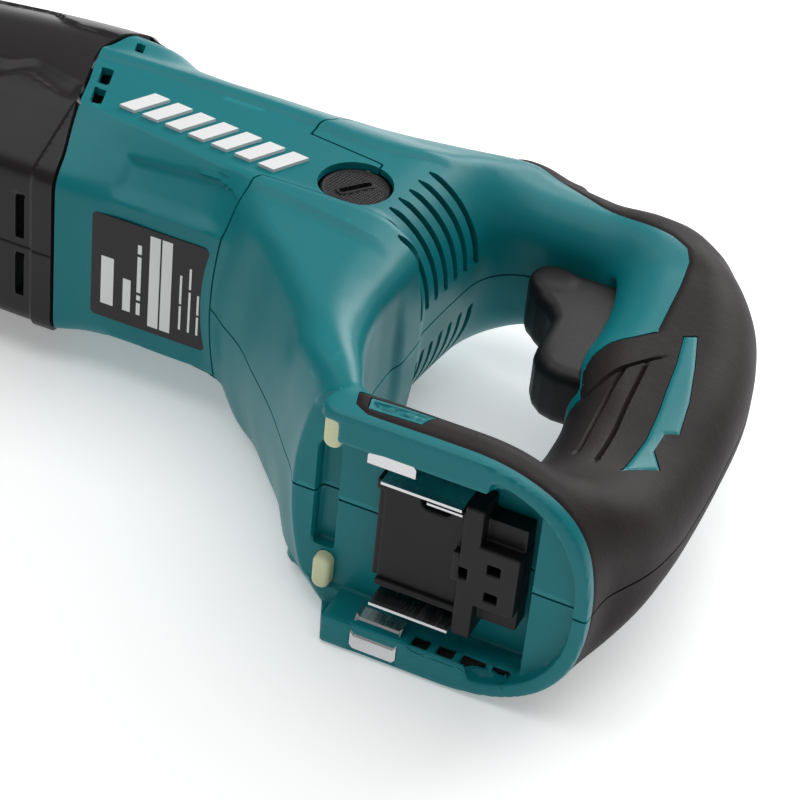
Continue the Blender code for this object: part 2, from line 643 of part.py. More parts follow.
clear_scene()
FRAME = make_frame()
TEAL = material("teal_plastic", (0.006, 0.150, 0.180), 0.42)
ELASTOMER = material("black_elastomer", (0.028, 0.022, 0.023), 0.62)
PLASTIC = material("black_plastic", (0.020, 0.018, 0.019), 0.45)
CREAM = material("cream_rubber", (0.68, 0.72, 0.48), 0.60)
RUBBER = material("seal_rubber", (0.03, 0.03, 0.03), 0.80)
STEEL = material("steel", (0.55, 0.55, 0.56), 0.35, 1.0)
CHROME = material("bright_steel", (0.80, 0.80, 0.81), 0.18, 1.0)
ALUMINIUM = material("cast_aluminium", (0.62, 0.63, 0.64), 0.45, 1.0)
BRASS = material("bronze", (0.65, 0.45, 0.20), 0.40, 1.0)
COPPER = material("copper", (0.72, 0.35, 0.20), 0.35, 1.0)
MAGNET = material("ferrite", (0.06, 0.06, 0.06), 0.70)
CARBON = material("carbon", (0.03, 0.03, 0.03), 0.75)

casing_shell("motor_housing", CASING, SHELL, TEAL)
handle_halves()
handle_screws()
motor_group()
gear_group()
front_casings()
front_end()
trigger_group()
battery_foot()
name_plate()
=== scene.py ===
"""Reciprocating saw: fine shells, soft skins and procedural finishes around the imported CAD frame.

Shapes are in millimetres in the saw's own frame: X towards the grip, Y towards the top of the saw, Z towards
its left side, with Z = 0 on the mid-plane. ORIGIN puts that frame where the CAD frame has it.
Shells start as implicit forms (negative inside), are meshed on a grid, cut along their seams and thickened.
"""

import math

import bmesh
import bpy
import numpy as np
from mathutils import Matrix, Vector


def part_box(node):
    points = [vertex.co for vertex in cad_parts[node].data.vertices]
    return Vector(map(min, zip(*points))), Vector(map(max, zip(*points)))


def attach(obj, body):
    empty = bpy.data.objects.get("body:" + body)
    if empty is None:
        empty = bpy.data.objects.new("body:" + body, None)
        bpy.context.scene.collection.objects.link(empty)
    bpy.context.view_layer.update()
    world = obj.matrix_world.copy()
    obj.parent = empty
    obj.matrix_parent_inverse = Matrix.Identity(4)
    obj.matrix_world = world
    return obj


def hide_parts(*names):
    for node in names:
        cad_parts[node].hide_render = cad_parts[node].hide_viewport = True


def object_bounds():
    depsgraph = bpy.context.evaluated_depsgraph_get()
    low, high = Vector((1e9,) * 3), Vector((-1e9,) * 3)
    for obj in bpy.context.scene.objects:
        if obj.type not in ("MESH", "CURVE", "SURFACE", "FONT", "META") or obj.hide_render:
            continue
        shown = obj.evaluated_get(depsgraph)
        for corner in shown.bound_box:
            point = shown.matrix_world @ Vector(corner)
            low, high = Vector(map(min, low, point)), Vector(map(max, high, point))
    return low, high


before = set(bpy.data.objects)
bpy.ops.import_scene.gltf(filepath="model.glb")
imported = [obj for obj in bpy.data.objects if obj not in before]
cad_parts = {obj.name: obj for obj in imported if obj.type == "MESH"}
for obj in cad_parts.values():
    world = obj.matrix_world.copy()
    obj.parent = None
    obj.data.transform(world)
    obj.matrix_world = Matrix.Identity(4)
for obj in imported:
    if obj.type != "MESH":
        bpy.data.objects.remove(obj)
CAD_BOX = [list(corner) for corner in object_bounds()]
MM = 0.001
NEGATIVE_BLADE_Z = 20.6
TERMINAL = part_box("terminal_negative")[0]
ORIGIN = np.array([TERMINAL[0], TERMINAL[1], TERMINAL[2] - NEGATIVE_BLADE_Z * MM])
BOX_LOW, BOX_HIGH = ((np.array(corner) - ORIGIN) / MM for corner in CAD_BOX)


def row_box(node):
    """A CAD node's box in the saw's own millimetres."""
    low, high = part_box(node)
    return (np.array(low) - ORIGIN) / MM, (np.array(high) - ORIGIN) / MM


# ------ driving sizes
HALF = 39.6  # half-width of the battery foot
PANEL_Z = 37.9  # flat side of the casing
CREST_Z = 39.8  # widest line of the casing, above the step
NECK_Z = 37.8  # half-width of the neck
BRUSH = (np.add(*row_box("brush_cap_left")) / 2)[:2]
LOCK_BUTTON = (np.add(*row_box("shoe_lock_button")) / 2)[:2]
BRUSH_HOLE = 11.2
RIM_Y = -1.2  # rim of the battery foot
TOP_Y = 163.7
SHELL = 2.4  # wall thickness of the motor housing
HANDLE_WALL = 2.0
SKIN_WALL = 2.2
SEAM = 0.34  # half the gap along every parting line
ELSEWHERE = 5.0  # what an opening's field holds where the opening can't be


# ------ field helpers
def xy(p):
    return p[..., 0], p[..., 1]


def folded(p):
    """Coordinates of points with the right side folded onto the left."""
    return p[..., 0], p[..., 1], np.abs(p[..., 2])


def smooth_max(a, b, size):
    blend = np.clip(0.5 + 0.5 * (a - b) / size, 0, 1)
    return b + (a - b) * blend + size * blend * (1 - blend)


def smooth_min(a, b, size):
    return -smooth_max(-a, -b, size)


def ease(value, low, high):
    """0 below low, 1 above high, smooth between."""
    t = np.clip((value - low) / (high - low), 0, 1)
    return t * t * (3 - 2 * t)


def along(t, rows):
    """Smooth curves through rows of (t, a, b, ...), read at t."""
    rows = np.array(sorted(rows), float)
    places, columns = rows[:, 0], rows[:, 1:]
    slopes = np.gradient(columns, places, axis=0) if len(rows) > 1 else 0 * columns
    t = np.clip(t, places[0], places[-1])
    i = np.clip(np.searchsorted(places, t) - 1, 0, len(places) - 2)
    span = (places[i + 1] - places[i])[..., None]
    s = (t - places[i])[..., None] / span
    value = (1 + 2 * s) * (1 - s) ** 2 * columns[i] + s * (1 - s) ** 2 * span * slopes[i]
    value += s * s * (3 - 2 * s) * columns[i + 1] + s * s * (s - 1) * span * slopes[i + 1]
    return np.moveaxis(value, -1, 0)


def facet(u, v, start, end):
    """Distance beyond the line from start to end, positive on its right-hand side."""
    du, dv = end[0] - start[0], end[1] - start[1]
    return ((u - start[0]) * dv - (v - start[1]) * du) / np.sqrt(du * du + dv * dv)


def rounded_box(u, v, centre, half, radius):
    """Distance to a rectangle with rounded corners."""
    du = np.abs(u - centre[0]) - half[0] + radius
    dv = np.abs(v - centre[1]) - half[1] + radius
    outside = np.sqrt(np.maximum(du, 0) ** 2 + np.maximum(dv, 0) ** 2)
    return outside + np.minimum(np.maximum(du, dv), 0) - radius


def box_field(p, low, high, radius=0.0):
    """Distance to an axis-aligned box with rounded edges."""
    centre = (np.array(low) + np.array(high)) / 2
    half = (np.array(high) - np.array(low)) / 2 - radius
    gap = np.abs(p - centre) - half
    return np.linalg.norm(np.maximum(gap, 0), axis=-1) + np.minimum(gap.max(axis=-1), 0) - radius


def outline_field(u, v, corners):
    """Signed distance to a closed polygon, negative inside."""
    corners = np.array(corners, float)
    nearest = np.full(u.shape, 1e9)
    inside = np.zeros(u.shape, bool)
    for a, b in zip(corners, np.roll(corners, -1, axis=0)):
        edge = b - a
        t = np.clip(((u - a[0]) * edge[0] + (v - a[1]) * edge[1]) / (edge @ edge), 0, 1)
        nearest = np.minimum(nearest, np.hypot(u - a[0] - t * edge[0], v - a[1] - t * edge[1]))
        if a[1] != b[1]:
            crosses = (a[1] > v) != (b[1] > v)
            inside ^= crosses & (u < a[0] + (v - a[1]) * edge[0] / edge[1])
    return np.where(inside, -nearest, nearest)


# ------ mesh helpers on arrays
def surface_net(field, low, high, step):
    """Mesh the zero surface of a field inside a box, with one vertex for each grid cell that it crosses."""
    axes = [l + step * np.arange(int(math.ceil((h - l) / step)) + 1) for l, h in zip(low, high)]
    grid = np.stack(np.meshgrid(*axes, indexing="ij"), axis=-1)
    values = field(grid.reshape(-1, 3)).reshape(grid.shape[:3])
    cells = tuple(n - 1 for n in values.shape)
    total = np.zeros(cells + (3,))
    hits = np.zeros(cells)
    crossings = []
    for axis in range(3):
        count = values.shape[axis]
        near, far = values.take(range(count - 1), axis), values.take(range(1, count), axis)
        crossed = (near < 0) != (far < 0)
        share = np.where(crossed, near / np.where(crossed, near - far, 1), 0)
        ends = grid.take(range(count - 1), axis)
        ends[..., axis] += share * step
        for first in (0, 1):
            for second in (0, 1):
                cut = [slice(None)] * 3
                cut[(axis + 1) % 3] = slice(first, first + cells[(axis + 1) % 3])
                cut[(axis + 2) % 3] = slice(second, second + cells[(axis + 2) % 3])
                cut = tuple(cut)
                total += ends[cut] * crossed[cut][..., None]
                hits += crossed[cut]
        crossings.append((axis, crossed, near < 0))
    active = hits > 0
    numbers = np.full(cells, -1)
    numbers[active] = np.arange(active.sum())
    points = total[active] / hits[active][:, None]
    quads = []
    for axis, crossed, rising in crossings:
        u, v = (axis + 1) % 3, (axis + 2) % 3
        places = np.argwhere(crossed)
        within = [(places[:, k] > 0) & (places[:, k] < cells[k]) for k in (u, v)]
        places = places[within[0] & within[1]]
        ring = []
        for du, dv in ((-1, -1), (0, -1), (0, 0), (-1, 0)):
            corner = places.copy()
            corner[:, u] += du
            corner[:, v] += dv
            ring.append(numbers[tuple(corner.T)])
        ring = np.stack(ring, axis=1)
        flip = ~rising[tuple(places.T)]
        ring[flip] = ring[flip][:, ::-1]
        quads.append(ring)
    quads = np.concatenate(quads)
    points = settle(field, points, step)
    first = np.linalg.norm(points[quads[:, 0]] - points[quads[:, 2]], axis=1)
    second = np.linalg.norm(points[quads[:, 1]] - points[quads[:, 3]], axis=1)
    straight = first <= second
    faces = [quads[straight][:, [0, 1, 2]], quads[straight][:, [0, 2, 3]]]
    faces += [quads[~straight][:, [0, 1, 3]], quads[~straight][:, [1, 2, 3]]]
    return points, np.concatenate(faces)


def gradient(field, points, reach=0.04):
    slopes = []
    for axis in range(3):
        move = np.zeros(3)
        move[axis] = reach
        slopes.append((field(points + move) - field(points - move)) / (2 * reach))
    return np.stack(slopes, axis=1)


def settle(field, points, most, rounds=4):
    """Move points onto the field's zero surface."""
    for _ in range(rounds):
        slope = gradient(field, points)
        step = -(field(points) / np.maximum((slope**2).sum(axis=1), 1e-3))[:, None] * slope
        length = np.linalg.norm(step, axis=1, keepdims=True)
        points = points + step * np.minimum(1, 0.5 * most / np.maximum(length, 1e-9))
    return points


def inward(field, points):
    slope = gradient(field, points)
    return -slope / np.maximum(np.linalg.norm(slope, axis=1, keepdims=True), 1e-6)


def split(mesh, line):
    """Cut the mesh where a field changes sign, so that edges follow it."""
    points, faces = mesh
    values = line(points)
    values = np.where(np.abs(values) < 1e-4, 1e-4, values)
    positive = values[faces] > 0
    count = positive.sum(axis=1)
    mixed = (count == 1) | (count == 2)
    if not mixed.any():
        return mesh
    whole, torn = faces[~mixed], faces[mixed]
    lone = np.where(count[mixed] == 1, positive[mixed].argmax(axis=1), (~positive[mixed]).argmax(axis=1))
    rows = np.arange(len(torn))
    a, b, c = (torn[rows, (lone + k) % 3] for k in range(3))
    pairs = np.sort(np.concatenate([np.stack([a, b], 1), np.stack([a, c], 1)]), axis=1)
    unique, index = np.unique(pairs, axis=0, return_inverse=True)
    index = index.reshape(-1) + len(points)
    start, end = unique.T
    share = (values[start] / (values[start] - values[end]))[:, None]
    added = points[start] * (1 - share) + points[end] * share
    ab, ac = index[: len(torn)], index[len(torn):]
    pieces = [np.stack(corners, axis=1) for corners in ((a, ab, ac), (ab, b, c), (ab, c, ac))]
    return np.concatenate([points, added]), np.concatenate([whole] + pieces)


def trim(mesh, *regions):
    """Cut along each region's edge and keep the side where it is positive."""
    for region in regions:
        points, faces = split(mesh, region)
        faces = faces[region(points[faces].mean(axis=1)) > 0]
        used, index = np.unique(faces, return_inverse=True)
        mesh = points[used], index.reshape(faces.shape)
    return mesh


def weld(points, faces, reach=1e-3):
    _, first, index = np.unique(
        np.round(points / reach).astype(np.int64), axis=0, return_index=True, return_inverse=True
    )
    a, b, c = index.reshape(-1)[faces].T
    whole = (a != b) & (b != c) & (a != c)
    return points[first], np.stack([a, b, c], axis=1)[whole]


def mirror(mesh):
    return mesh[0] * [1, 1, -1], mesh[1][:, ::-1]


def both_sides(mesh):
    """The mesh with its mirror image, joined where they meet on the mid-plane."""
    points, faces = mesh
    points = points.copy()
    points[np.abs(points[:, 2]) < 0.02, 2] = 0
    mirrored, turned = mirror((points, faces))
    return weld(np.concatenate([points, mirrored]), np.concatenate([faces, turned + len(points)]))


def thicken(mesh, direction, depth):
    """Give a sheet a back face at a depth along direction, and walls round its edges."""
    points, faces = mesh
    count = len(points)
    ends = np.concatenate([faces[:, [0, 1]], faces[:, [1, 2]], faces[:, [2, 0]]])
    keys = set(map(tuple, ends[:, ::-1].tolist()))
    edge = np.array([pair for pair in ends.tolist() if tuple(pair) not in keys])
    back = points + np.asarray(direction, float) * depth
    parts = [faces, faces[:, ::-1] + count]
    if len(edge):
        a, b = edge.T
        parts.append(np.stack([b, a, a + count], axis=1))
        parts.append(np.stack([b, a + count, b + count], axis=1))
    return np.concatenate([points, back]), np.concatenate(parts)


def link(made):
    bpy.context.scene.collection.objects.link(made)
    return made


def to_object(name, mesh, finish, sharp):
    """A Blender object from a mesh in the saw's own millimetres."""
    points, faces = np.clip(mesh[0], BOX_LOW, BOX_HIGH), np.asarray(mesh[1])
    data = bpy.data.meshes.new(name)
    data.vertices.add(len(points))
    data.vertices.foreach_set("co", (ORIGIN + points * MM).astype(np.float32).ravel())
    data.loops.add(faces.size)
    data.loops.foreach_set("vertex_index", faces.astype(np.int32).ravel())
    data.polygons.add(len(faces))
    data.polygons.foreach_set("loop_start", np.arange(0, faces.size, 3, dtype=np.int32))
    data.update(calc_edges=True)
    data.validate()
    data.materials.append(finish)
    data.shade_smooth()
    data.set_sharp_from_angle(angle=math.radians(sharp))
    return link(bpy.data.objects.new(name, data))


def piece(name, mesh, finish, slot, *nodes, body="root", sharp=38.0):
    """Make a mesh's object and say which body it rides on and which CAD nodes it stands for; the slot
    argument is not used.
    """
    made = to_object(name, mesh, finish, sharp)
    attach(made, body)
    if nodes:
        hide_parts(*nodes)
    return made


def pair(name, left, right, finish, slot, node=None):
    """A piece on the left and one on the right, both given as they would be on the left."""
    for side, mesh in (("left", left), ("right", mirror(right))):
        piece(f"{name}_{side}", mesh, finish, slot, *([f"{node}_{side}"] if node else []))


# ------ forms of the casing and handle
def ridge_y(x):
    """Height of the sharp edge between the flat side and the lower facet."""
    return 79.0 + 0.1816 * (-42.7 - x)


# Rows along the casing: x, flat bottom, its half-width, lower edge of the side step, rise of the top
CASING_ROWS = (
    (-152, 69.3, 28.5, 121.5, 4.6),
    (-146, 69.4, 28.0, 121.8, 4.3),
    (-139, 70.0, 27.4, 122.2, 3.4),
    (-131, 72.0, 26.0, 122.4, 0.6),
    (-123, 73.0, 25.2, 122.6, 0.0),
    (-100, 73.0, 25.0, 122.6, 0.0),
    (-84, 73.0, 25.0, 122.0, 0.0),
    (-66, 73.0, 25.0, 120.0, 0.0),
    (-51, 73.2, 25.0, 121.0, 0.4),
    (-43, 74.0, 25.0, 123.5, 0.8),
    (-29, 75.5, 24.0, 129.0, 1.0),
    (-10, 77.0, 24.0, 134.0, 1.0),
)
# Corners of the upper casing from the crest to the ridge of the roof, as (y, z)
ROOF = ((127.4, 39.8), (142.5, 33.2), (156.0, 20.5), (160.8, 9.0), (161.3, 0.0))


def casing_profile(x, y, az, skin=0.0):
    """The casing's cross-section field; skin grows it all round."""
    low, flat, step, rise = along(x, CASING_ROWS)
    ridge = ridge_y(x)
    under = low - y
    lower = facet(az, y, (flat, low), (PANEL_Z, ridge))
    pocket = ease(x, -124, -119) * ease(az, 35.0, 34.0) * ease(y, 86.2, 85.2)
    lower = smooth_max(under, lower + 1.9 * pocket * ease(az, 24, 27), 5.0 - 3.8 * ease(x, -125, -119))
    side = az - PANEL_Z - (CREST_Z - PANEL_Z) * np.clip((y - step) / 5.0, 0, 1)
    shape = smooth_max(lower, side, 0.35)
    crest = (step + 5.0, CREST_Z)
    roof = facet(az, y, (crest[1], crest[0]), (ROOF[1][1], ROOF[1][0]))
    for start, end, size in zip(ROOF[1:], ROOF[2:], (12.0, 10.0, 6.0)):
        roof = smooth_max(roof, facet(az, y, (start[1], start[0]), (end[1], end[0])), size)
    roof = roof - rise * ease(y, 130, 146)
    return smooth_max(shape, roof, 1.4) - skin


# Rear wall of the motor casing, as (y, x)
REAR_WALL = (
    (60, -28.3), (77.5, -28.1), (91, -28.0), (103.7, -27.2), (115.6, -26.0), (127, -24.6), (140, -23.0),
)


def casing(p):
    x, y, az = folded(p)
    profile = casing_profile(x, y, az)
    depth, start, reach = 24.0, 5.0, 34.6
    across = np.maximum(az - start, 0) / reach
    back = np.maximum(x - along(y, REAR_WALL)[0] + depth, 0) / depth
    rear = (np.hypot(across, back) - 1) * depth
    return smooth_max(profile, rear, 3.0)


# Rows up the neck: y, front at the mid-plane, how far the front bows forward, rear x
NECK_ROWS = (
    (-4, -27.5, 10.0, -2.0),
    (6, -28.5, 9.5, -7.0),
    (15, -32.0, 6.5, -13.0),
    (25, -39.7, 3.6, -17.6),
    (37.5, -49.9, 6.4, -22.9),
    (50, -61.9, 7.6, -26.6),
    (61, -73.0, 8.4, -28.3),
    (66, -80.0, 9.0, -28.4),
    (72.6, -87.0, 10.0, -28.4),
    (90, -100.0, 11.0, -28.4),
)


def neck(p):
    x, y, az = folded(p)
    front, bow, rear = along(y, NECK_ROWS)
    fore = (front + bow * (az / NECK_Z) ** 2 - x) * 0.74
    shape = smooth_max(fore, az - NECK_Z, 6.0)
    shape = smooth_max(shape, (x - rear) * 0.9, 9.0 * ease(y, 10, 50) + 4.0)
    return smooth_max(shape, y - 88.0, 2.0)


# Rows along the arm over the trigger: x, underside, top, half-width
ARM_ROWS = (
    (-70, 134, 152.0, 20),
    (-45, 132.5, 157.5, 23),
    (-24, 134.0, 163.2, 25),
    (-8, 136.5, 164.0, 22.5),
    (8, 138.5, 163.6, 20.8),
    (30, 136.0, 162.0, 19.5),
)


def arm(p):
    x, y, z = p[..., 0], p[..., 1], p[..., 2]
    low, high, half = along(x, ARM_ROWS)
    shape = rounded_box(z, y, (0, (low + high) / 2), (half, (high - low) / 2), 12.0)
    shape = smooth_max(shape, x - 30.0, 10.0)
    return smooth_max(shape, -70.0 - x, 4.0)


# Rows up the grip: y, front x, rear x, half-width, corner radius
GRIP_ROWS = (
    (164, 8, 29.0, 13.0, 9),
    (158, 6, 41.5, 18.0, 14),
    (148, 6, 51.0, 20.5, 17),
    (135, 13, 59.6, 20.2, 17),
    (120, 17.5, 65.2, 19.4, 16.5),
    (106, 19, 68.4, 18.6, 16),
    (90, 19.5, 70.2, 18.0, 15.5),
    (80, 22.5, 70.8, 17.7, 15.5),
    (70, 25.6, 71.4, 17.6, 16),
    (55, 27.4, 71.7, 18.0, 16),
    (38, 27.0, 71.0, 20.4, 17),
    (26, 24.0, 68.4, 25.0, 18),
    (14, 14.0, 63.0, 31.5, 20),
    (4, 4.0, 58.0, 34.0, 20),
)


def grip(p):
    x, y, z = p[..., 0], p[..., 1], p[..., 2]
    front, rear, half, radius = along(y, GRIP_ROWS)
    shape = rounded_box(x, z, ((front + rear) / 2, 0), ((rear - front) / 2, half), radius)
    shape = smooth_max(shape, y - 164.0, 5.0)
    return smooth_max(shape, 2.0 - y, 2.0)


def foot_plan(x, az):
    """Plan of the battery foot: straight sides, then a squared round at the rear."""
    run = np.maximum(x - 20.0, 0) / 41.3
    squareness = 2.4
    return ((run**squareness + (az / HALF) ** squareness) ** (1 / squareness) - 1) * HALF


def foot(p):
    x, y, az = folded(p)
    plan = foot_plan(x, az)
    dome = 12.0 + 7.0 * (1 - np.exp(-np.maximum(-plan - 1.0, 0) / 6.0))
    top = (y - dome) * 0.8
    front = (-21.8 + 0.5 * np.maximum(y, -1) - x) * 0.9
    front = smooth_max(front, RIM_Y - y, 10.0)
    return smooth_max(smooth_max(plan, top, 4.0), front, 1.2)


RECESS_CEILING = 11.8
RECESS_REAR = 43.7


def battery_bay(p):
    """The hollow that the battery slides into, with its undercut rails, latch groove and rail pockets."""
    mouth = box_field(p, (-60, -20, -30), (RECESS_REAR, RECESS_CEILING, 30), 1.0)
    front = box_field(p, (-60, -20, -36.4), (-13.0, 10.6, 36.4), 1.0)
    mouth = smooth_min(mouth, front, 0.6)
    groove = box_field(p, (-23, 4, -18), (-16.6, 15.8, 18), 1.0)
    ledge = smooth_max(foot_plan(p[..., 0], np.abs(p[..., 2])) + 4.0, p[..., 1] - 3.2, 0.8)
    ledge = smooth_max(ledge, 30.0 - p[..., 0], 4.0)
    return np.minimum(np.minimum(mouth, groove), ledge)


def handle_outside(p):
    """Everything behind the housing seam as one form, before anything is cut into it."""
    shape = smooth_min(casing(p), arm(p), 14.0)
    shape = smooth_min(shape, neck(p), 5.0)
    shape = smooth_min(shape, grip(p), 9.0)
    shape = smooth_min(shape, foot(p), 3.0)
    shape = smooth_max(shape, p[..., 1] - TOP_Y, 2.5)
    return smooth_max(shape, RIM_Y - p[..., 1], 0.8)


# Screws of the handle, driven from the right: x, y and how far the head's seat is from the mid-plane
SCREW_SEATS = ((-70, 128, 32.4), (-62, 70, 32.4), (-30, 26, 32.4), (61, 48, 13.9), (61, 112, 13.9))
WELL_RADIUS = 3.7


def screw_wells(p):
    """Negative in the wells over the screw heads, read as if the right side were the left."""
    wells = np.full(p.shape[:-1], 50.0)
    for x, y, seat in SCREW_SEATS:
        round_wall = np.hypot(p[..., 0] - x, p[..., 1] - y) - WELL_RADIUS
        wells = np.minimum(wells, np.maximum(round_wall, seat - p[..., 2]))
    return wells


def right_hollows(p):
    """Hollows that only the right side has: screw wells, rail pockets and the seat of the rail plate."""
    rail_z, cut_top = 36, 22
    shape = screw_wells(p)
    for start, length in ((13.0, 5.0), (20.5, 5.0), (27.5, 6.8), (36.2, 5.2)):
        shape = np.minimum(shape, box_field(p, (start, 0.3, 29.0), (start + length, 4.6, 32.8), 0.4))
    shape = np.minimum(shape, box_field(p, (-4.4, -6, 28.0), (10.2, -0.6, 38.6), 0.3))
    rail_front = np.interp(p[..., 1], (-1.2, 11.3, 17.5, 25), (-12.8, -18.3, -27.3, -40))
    ahead = p[..., 0] - rail_front + 0.9 * np.maximum(rail_z - p[..., 2], 0)
    return np.minimum(shape, np.maximum(ahead, p[..., 1] - cut_top))


# ------ seams and openings, as fields
HOUSING_OUTLINE = (
    (-170, 20), (-82.2, 20), (-82.2, 86.0), (-80.8, 89.2), (-58.6, 90.8), (-54, 98),
    (-54, 114.0), (-56.6, 114.6), (-79.2, 117.9), (-79.3, 123.6), (-77.2, 129), (-76.6, 200), (-170, 200),
)


def housing_seam(p):
    """Negative in the motor housing, positive in the handle."""
    x, y, az = folded(p)
    sweep = 4.4 * (1 - np.clip(az / 38.0, 0, 1) ** 2) * ease(y, 86, 78)
    return outline_field(x + sweep, y, HOUSING_OUTLINE)


# Rear edge of the boot, as (y, x)
BOOT_EDGE = (
    (60, -138.2), (69, -138.6), (76, -139.6), (88, -143.2), (98, -146.2), (110, -149.8), (121, -153.6),
    (131, -155.0), (137, -154.5), (147, -152.4), (154, -148.8), (159, -145.6), (170, -143.0),
)


def boot_seam(p):
    """Negative in the boot, positive in the motor housing."""
    return p[..., 0] - along(p[..., 1], BOOT_EDGE)[0]


COVER_OUTLINE = (
    (-30, 200), (-29.5, 159.5), (-12, 155.6), (2.5, 151.8), (16.2, 149.4), (27, 147.4), (32.5, 144.8),
    (35.2, 139.5), (36.8, 128.3), (38.5, 105), (33.5, 99.5), (27.6, 95.0), (24.8, 90.0), (24.4, 84.5),
    (25.9, 78.5), (28.4, 72.6), (24, 69.5), (10, 69.5), (10, 21), (2, 18.0), (-8.5, 13.0), (-12.6, 10.4),
    (-10.8, 4.6), (-6.6, 2.2), (12, 2.6), (100, 2.6), (100, 200),
)


def cover_edge(p):
    """Negative where the soft skin covers the handle."""
    return outline_field(*xy(p), COVER_OUTLINE)


def brush_edge(p):
    return np.hypot(p[..., 0] - BRUSH[0], p[..., 1] - BRUSH[1]) - BRUSH_HOLE


def vent_edge(p):
    """Negative in the seven cooling slots that wrap round the rear corner of the motor."""
    x, y, az = folded(p)
    count, first, pitch, outer, run = 7, 84.6, 5.75, 36.0, 28.0
    share = (outer - az) / run
    nearest = np.full(y.shape, 1e9)
    for index in range(count):
        line = first + pitch * index + 3.9 * (outer - az) / run
        line = line + 1.2 * np.sin(np.pi * np.clip(share, 0, 1))
        ends = np.maximum(az - 35.6, 8.6 - az)
        nearest = np.minimum(nearest, np.hypot(np.abs(y - line), np.maximum(ends, 0)) - 1.2)
    return np.where((x < -18) & (x > -52), nearest, ELSEWHERE)


def housing_slots(p):
    """Negative in the small air slots at the front of the motor housing."""
    x, y, az = folded(p)
    nearest = np.full(y.shape, 1e9)
    middle = -144.2 - 0.32 * (y - 108.0)
    for low, high in ((98.5, 106.3), (109.0, 117.6)):
        tall = np.abs(y - (low + high) / 2) - (high - low) / 2
        nearest = np.minimum(nearest, np.maximum(np.abs(x - middle) - 2.0, tall))
    side = np.where(az > 33, nearest, ELSEWHERE)
    top = np.maximum(np.abs(x + 0.35 * (y - 136.5) + 146.8) - 1.5, np.abs(y - 136.5) - 3.0)
    return np.minimum(side, np.where((az < 37.5) & (y > 130), top, ELSEWHERE))


# ------ finishes
def node_tree(name):
    made = bpy.data.materials.new(name)
    made.use_nodes = True
    tree = made.node_tree
    return made, tree, tree.nodes["Principled BSDF"]


def add(tree, kind, **settings):
    node = tree.nodes.new(kind)
    for key, value in settings.items():
        setattr(node, key, value)
    return node


def fill(node, **values):
    """Set a node's sockets, each named with _ for a space."""
    for socket, value in values.items():
        node.inputs[socket.replace("_", " ")].default_value = value


def join(tree, node, **outputs):
    """Link outputs to a node's sockets, each named with _ for a space."""
    for socket, output in outputs.items():
        tree.links.new(output, node.inputs[socket.replace("_", " ")])


def noise(tree, place, scale, detail=4.0, roughness=0.55):
    node = add(tree, "ShaderNodeTexNoise")
    fill(node, Scale=scale, Detail=detail, Roughness=roughness)
    join(tree, node, Vector=place)
    return node.outputs["Fac"]


def ramp(tree, factor, low, high, start, end):
    """Read a factor between two places and give a value or colour between start and end."""
    if isinstance(start, float):
        node = add(tree, "ShaderNodeMapRange")
        fill(node, From_Min=low, From_Max=high, To_Min=start, To_Max=end)
        join(tree, node, Value=factor)
        return node.outputs["Result"]
    node = add(tree, "ShaderNodeMix", data_type="RGBA")
    share = ramp(tree, factor, low, high, 0.0, 1.0)
    tree.links.new(share, node.inputs[0])
    for socket, value in ((node.inputs[6], start), (node.inputs[7], end)):
        if isinstance(value, tuple):
            socket.default_value = (*value, 1.0)
        else:
            tree.links.new(value, socket)
    return node.outputs[2]


def bump(tree, height, strength, distance, below=None):
    node = add(tree, "ShaderNodeBump")
    fill(node, Strength=strength, Distance=distance)
    join(tree, node, Height=height)
    if below is not None:
        join(tree, node, Normal=below)
    return node.outputs["Normal"]


def moulded(name, colour, shade, rough, grain, relief, worn=None, gloss=0.28):
    """A moulded plastic or rubber: mottled colour, spark-eroded grain, handling marks and lighter edges."""
    made, tree, shader = node_tree(name)
    place = add(tree, "ShaderNodeTexCoord").outputs["Object"]
    broad = noise(tree, place, 28.0, 3.0)
    fine = noise(tree, place, grain, 3.0, 0.6)
    coarse = noise(tree, place, grain * 0.33, 2.0)
    base = ramp(tree, broad, 0.35, 0.7, colour, shade)
    base = ramp(tree, fine, 0.62, 0.80, base, tuple(min(1.0, 1.35 * c + 0.004) for c in colour))
    if worn:
        edge = add(tree, "ShaderNodeNewGeometry").outputs["Pointiness"]
        base = ramp(tree, edge, 0.57, 0.68, base, worn)
    dull = ramp(tree, broad, 0.3, 0.7, rough - 0.05, rough + 0.06)
    under = bump(tree, coarse, 0.35, relief * 2.0)
    join(tree, shader, Base_Color=base, Roughness=dull, Normal=bump(tree, fine, 0.55, relief, under))
    fill(shader, Specular_IOR_Level=gloss)
    return made


def metal(name, colour, rough, stretch=(1.0, 1.0, 1.0), relief=0.00002, tarnish=None):
    """Machined metal: brush lines along the stretched axis, stains and brighter worn edges."""
    made, tree, shader = node_tree(name)
    place = add(tree, "ShaderNodeTexCoord").outputs["Object"]
    mapping = add(tree, "ShaderNodeMapping")
    fill(mapping, Scale=stretch)
    join(tree, mapping, Vector=place)
    lines = noise(tree, mapping.outputs["Vector"], 900.0, 5.0, 0.65)
    stain = noise(tree, place, 60.0, 4.0)
    dull = tarnish or tuple(c * 0.78 for c in colour)
    base = ramp(tree, stain, 0.35, 0.75, colour, dull)
    edge = add(tree, "ShaderNodeNewGeometry").outputs["Pointiness"]
    base = ramp(tree, edge, 0.54, 0.62, base, tuple(min(1.0, c * 1.15) for c in colour))
    fill(shader, Metallic=1.0)
    brushed = ramp(tree, lines, 0.3, 0.7, rough * 0.75, rough * 1.3)
    join(tree, shader, Base_Color=base, Roughness=brushed, Normal=bump(tree, lines, 0.4, relief))
    return made


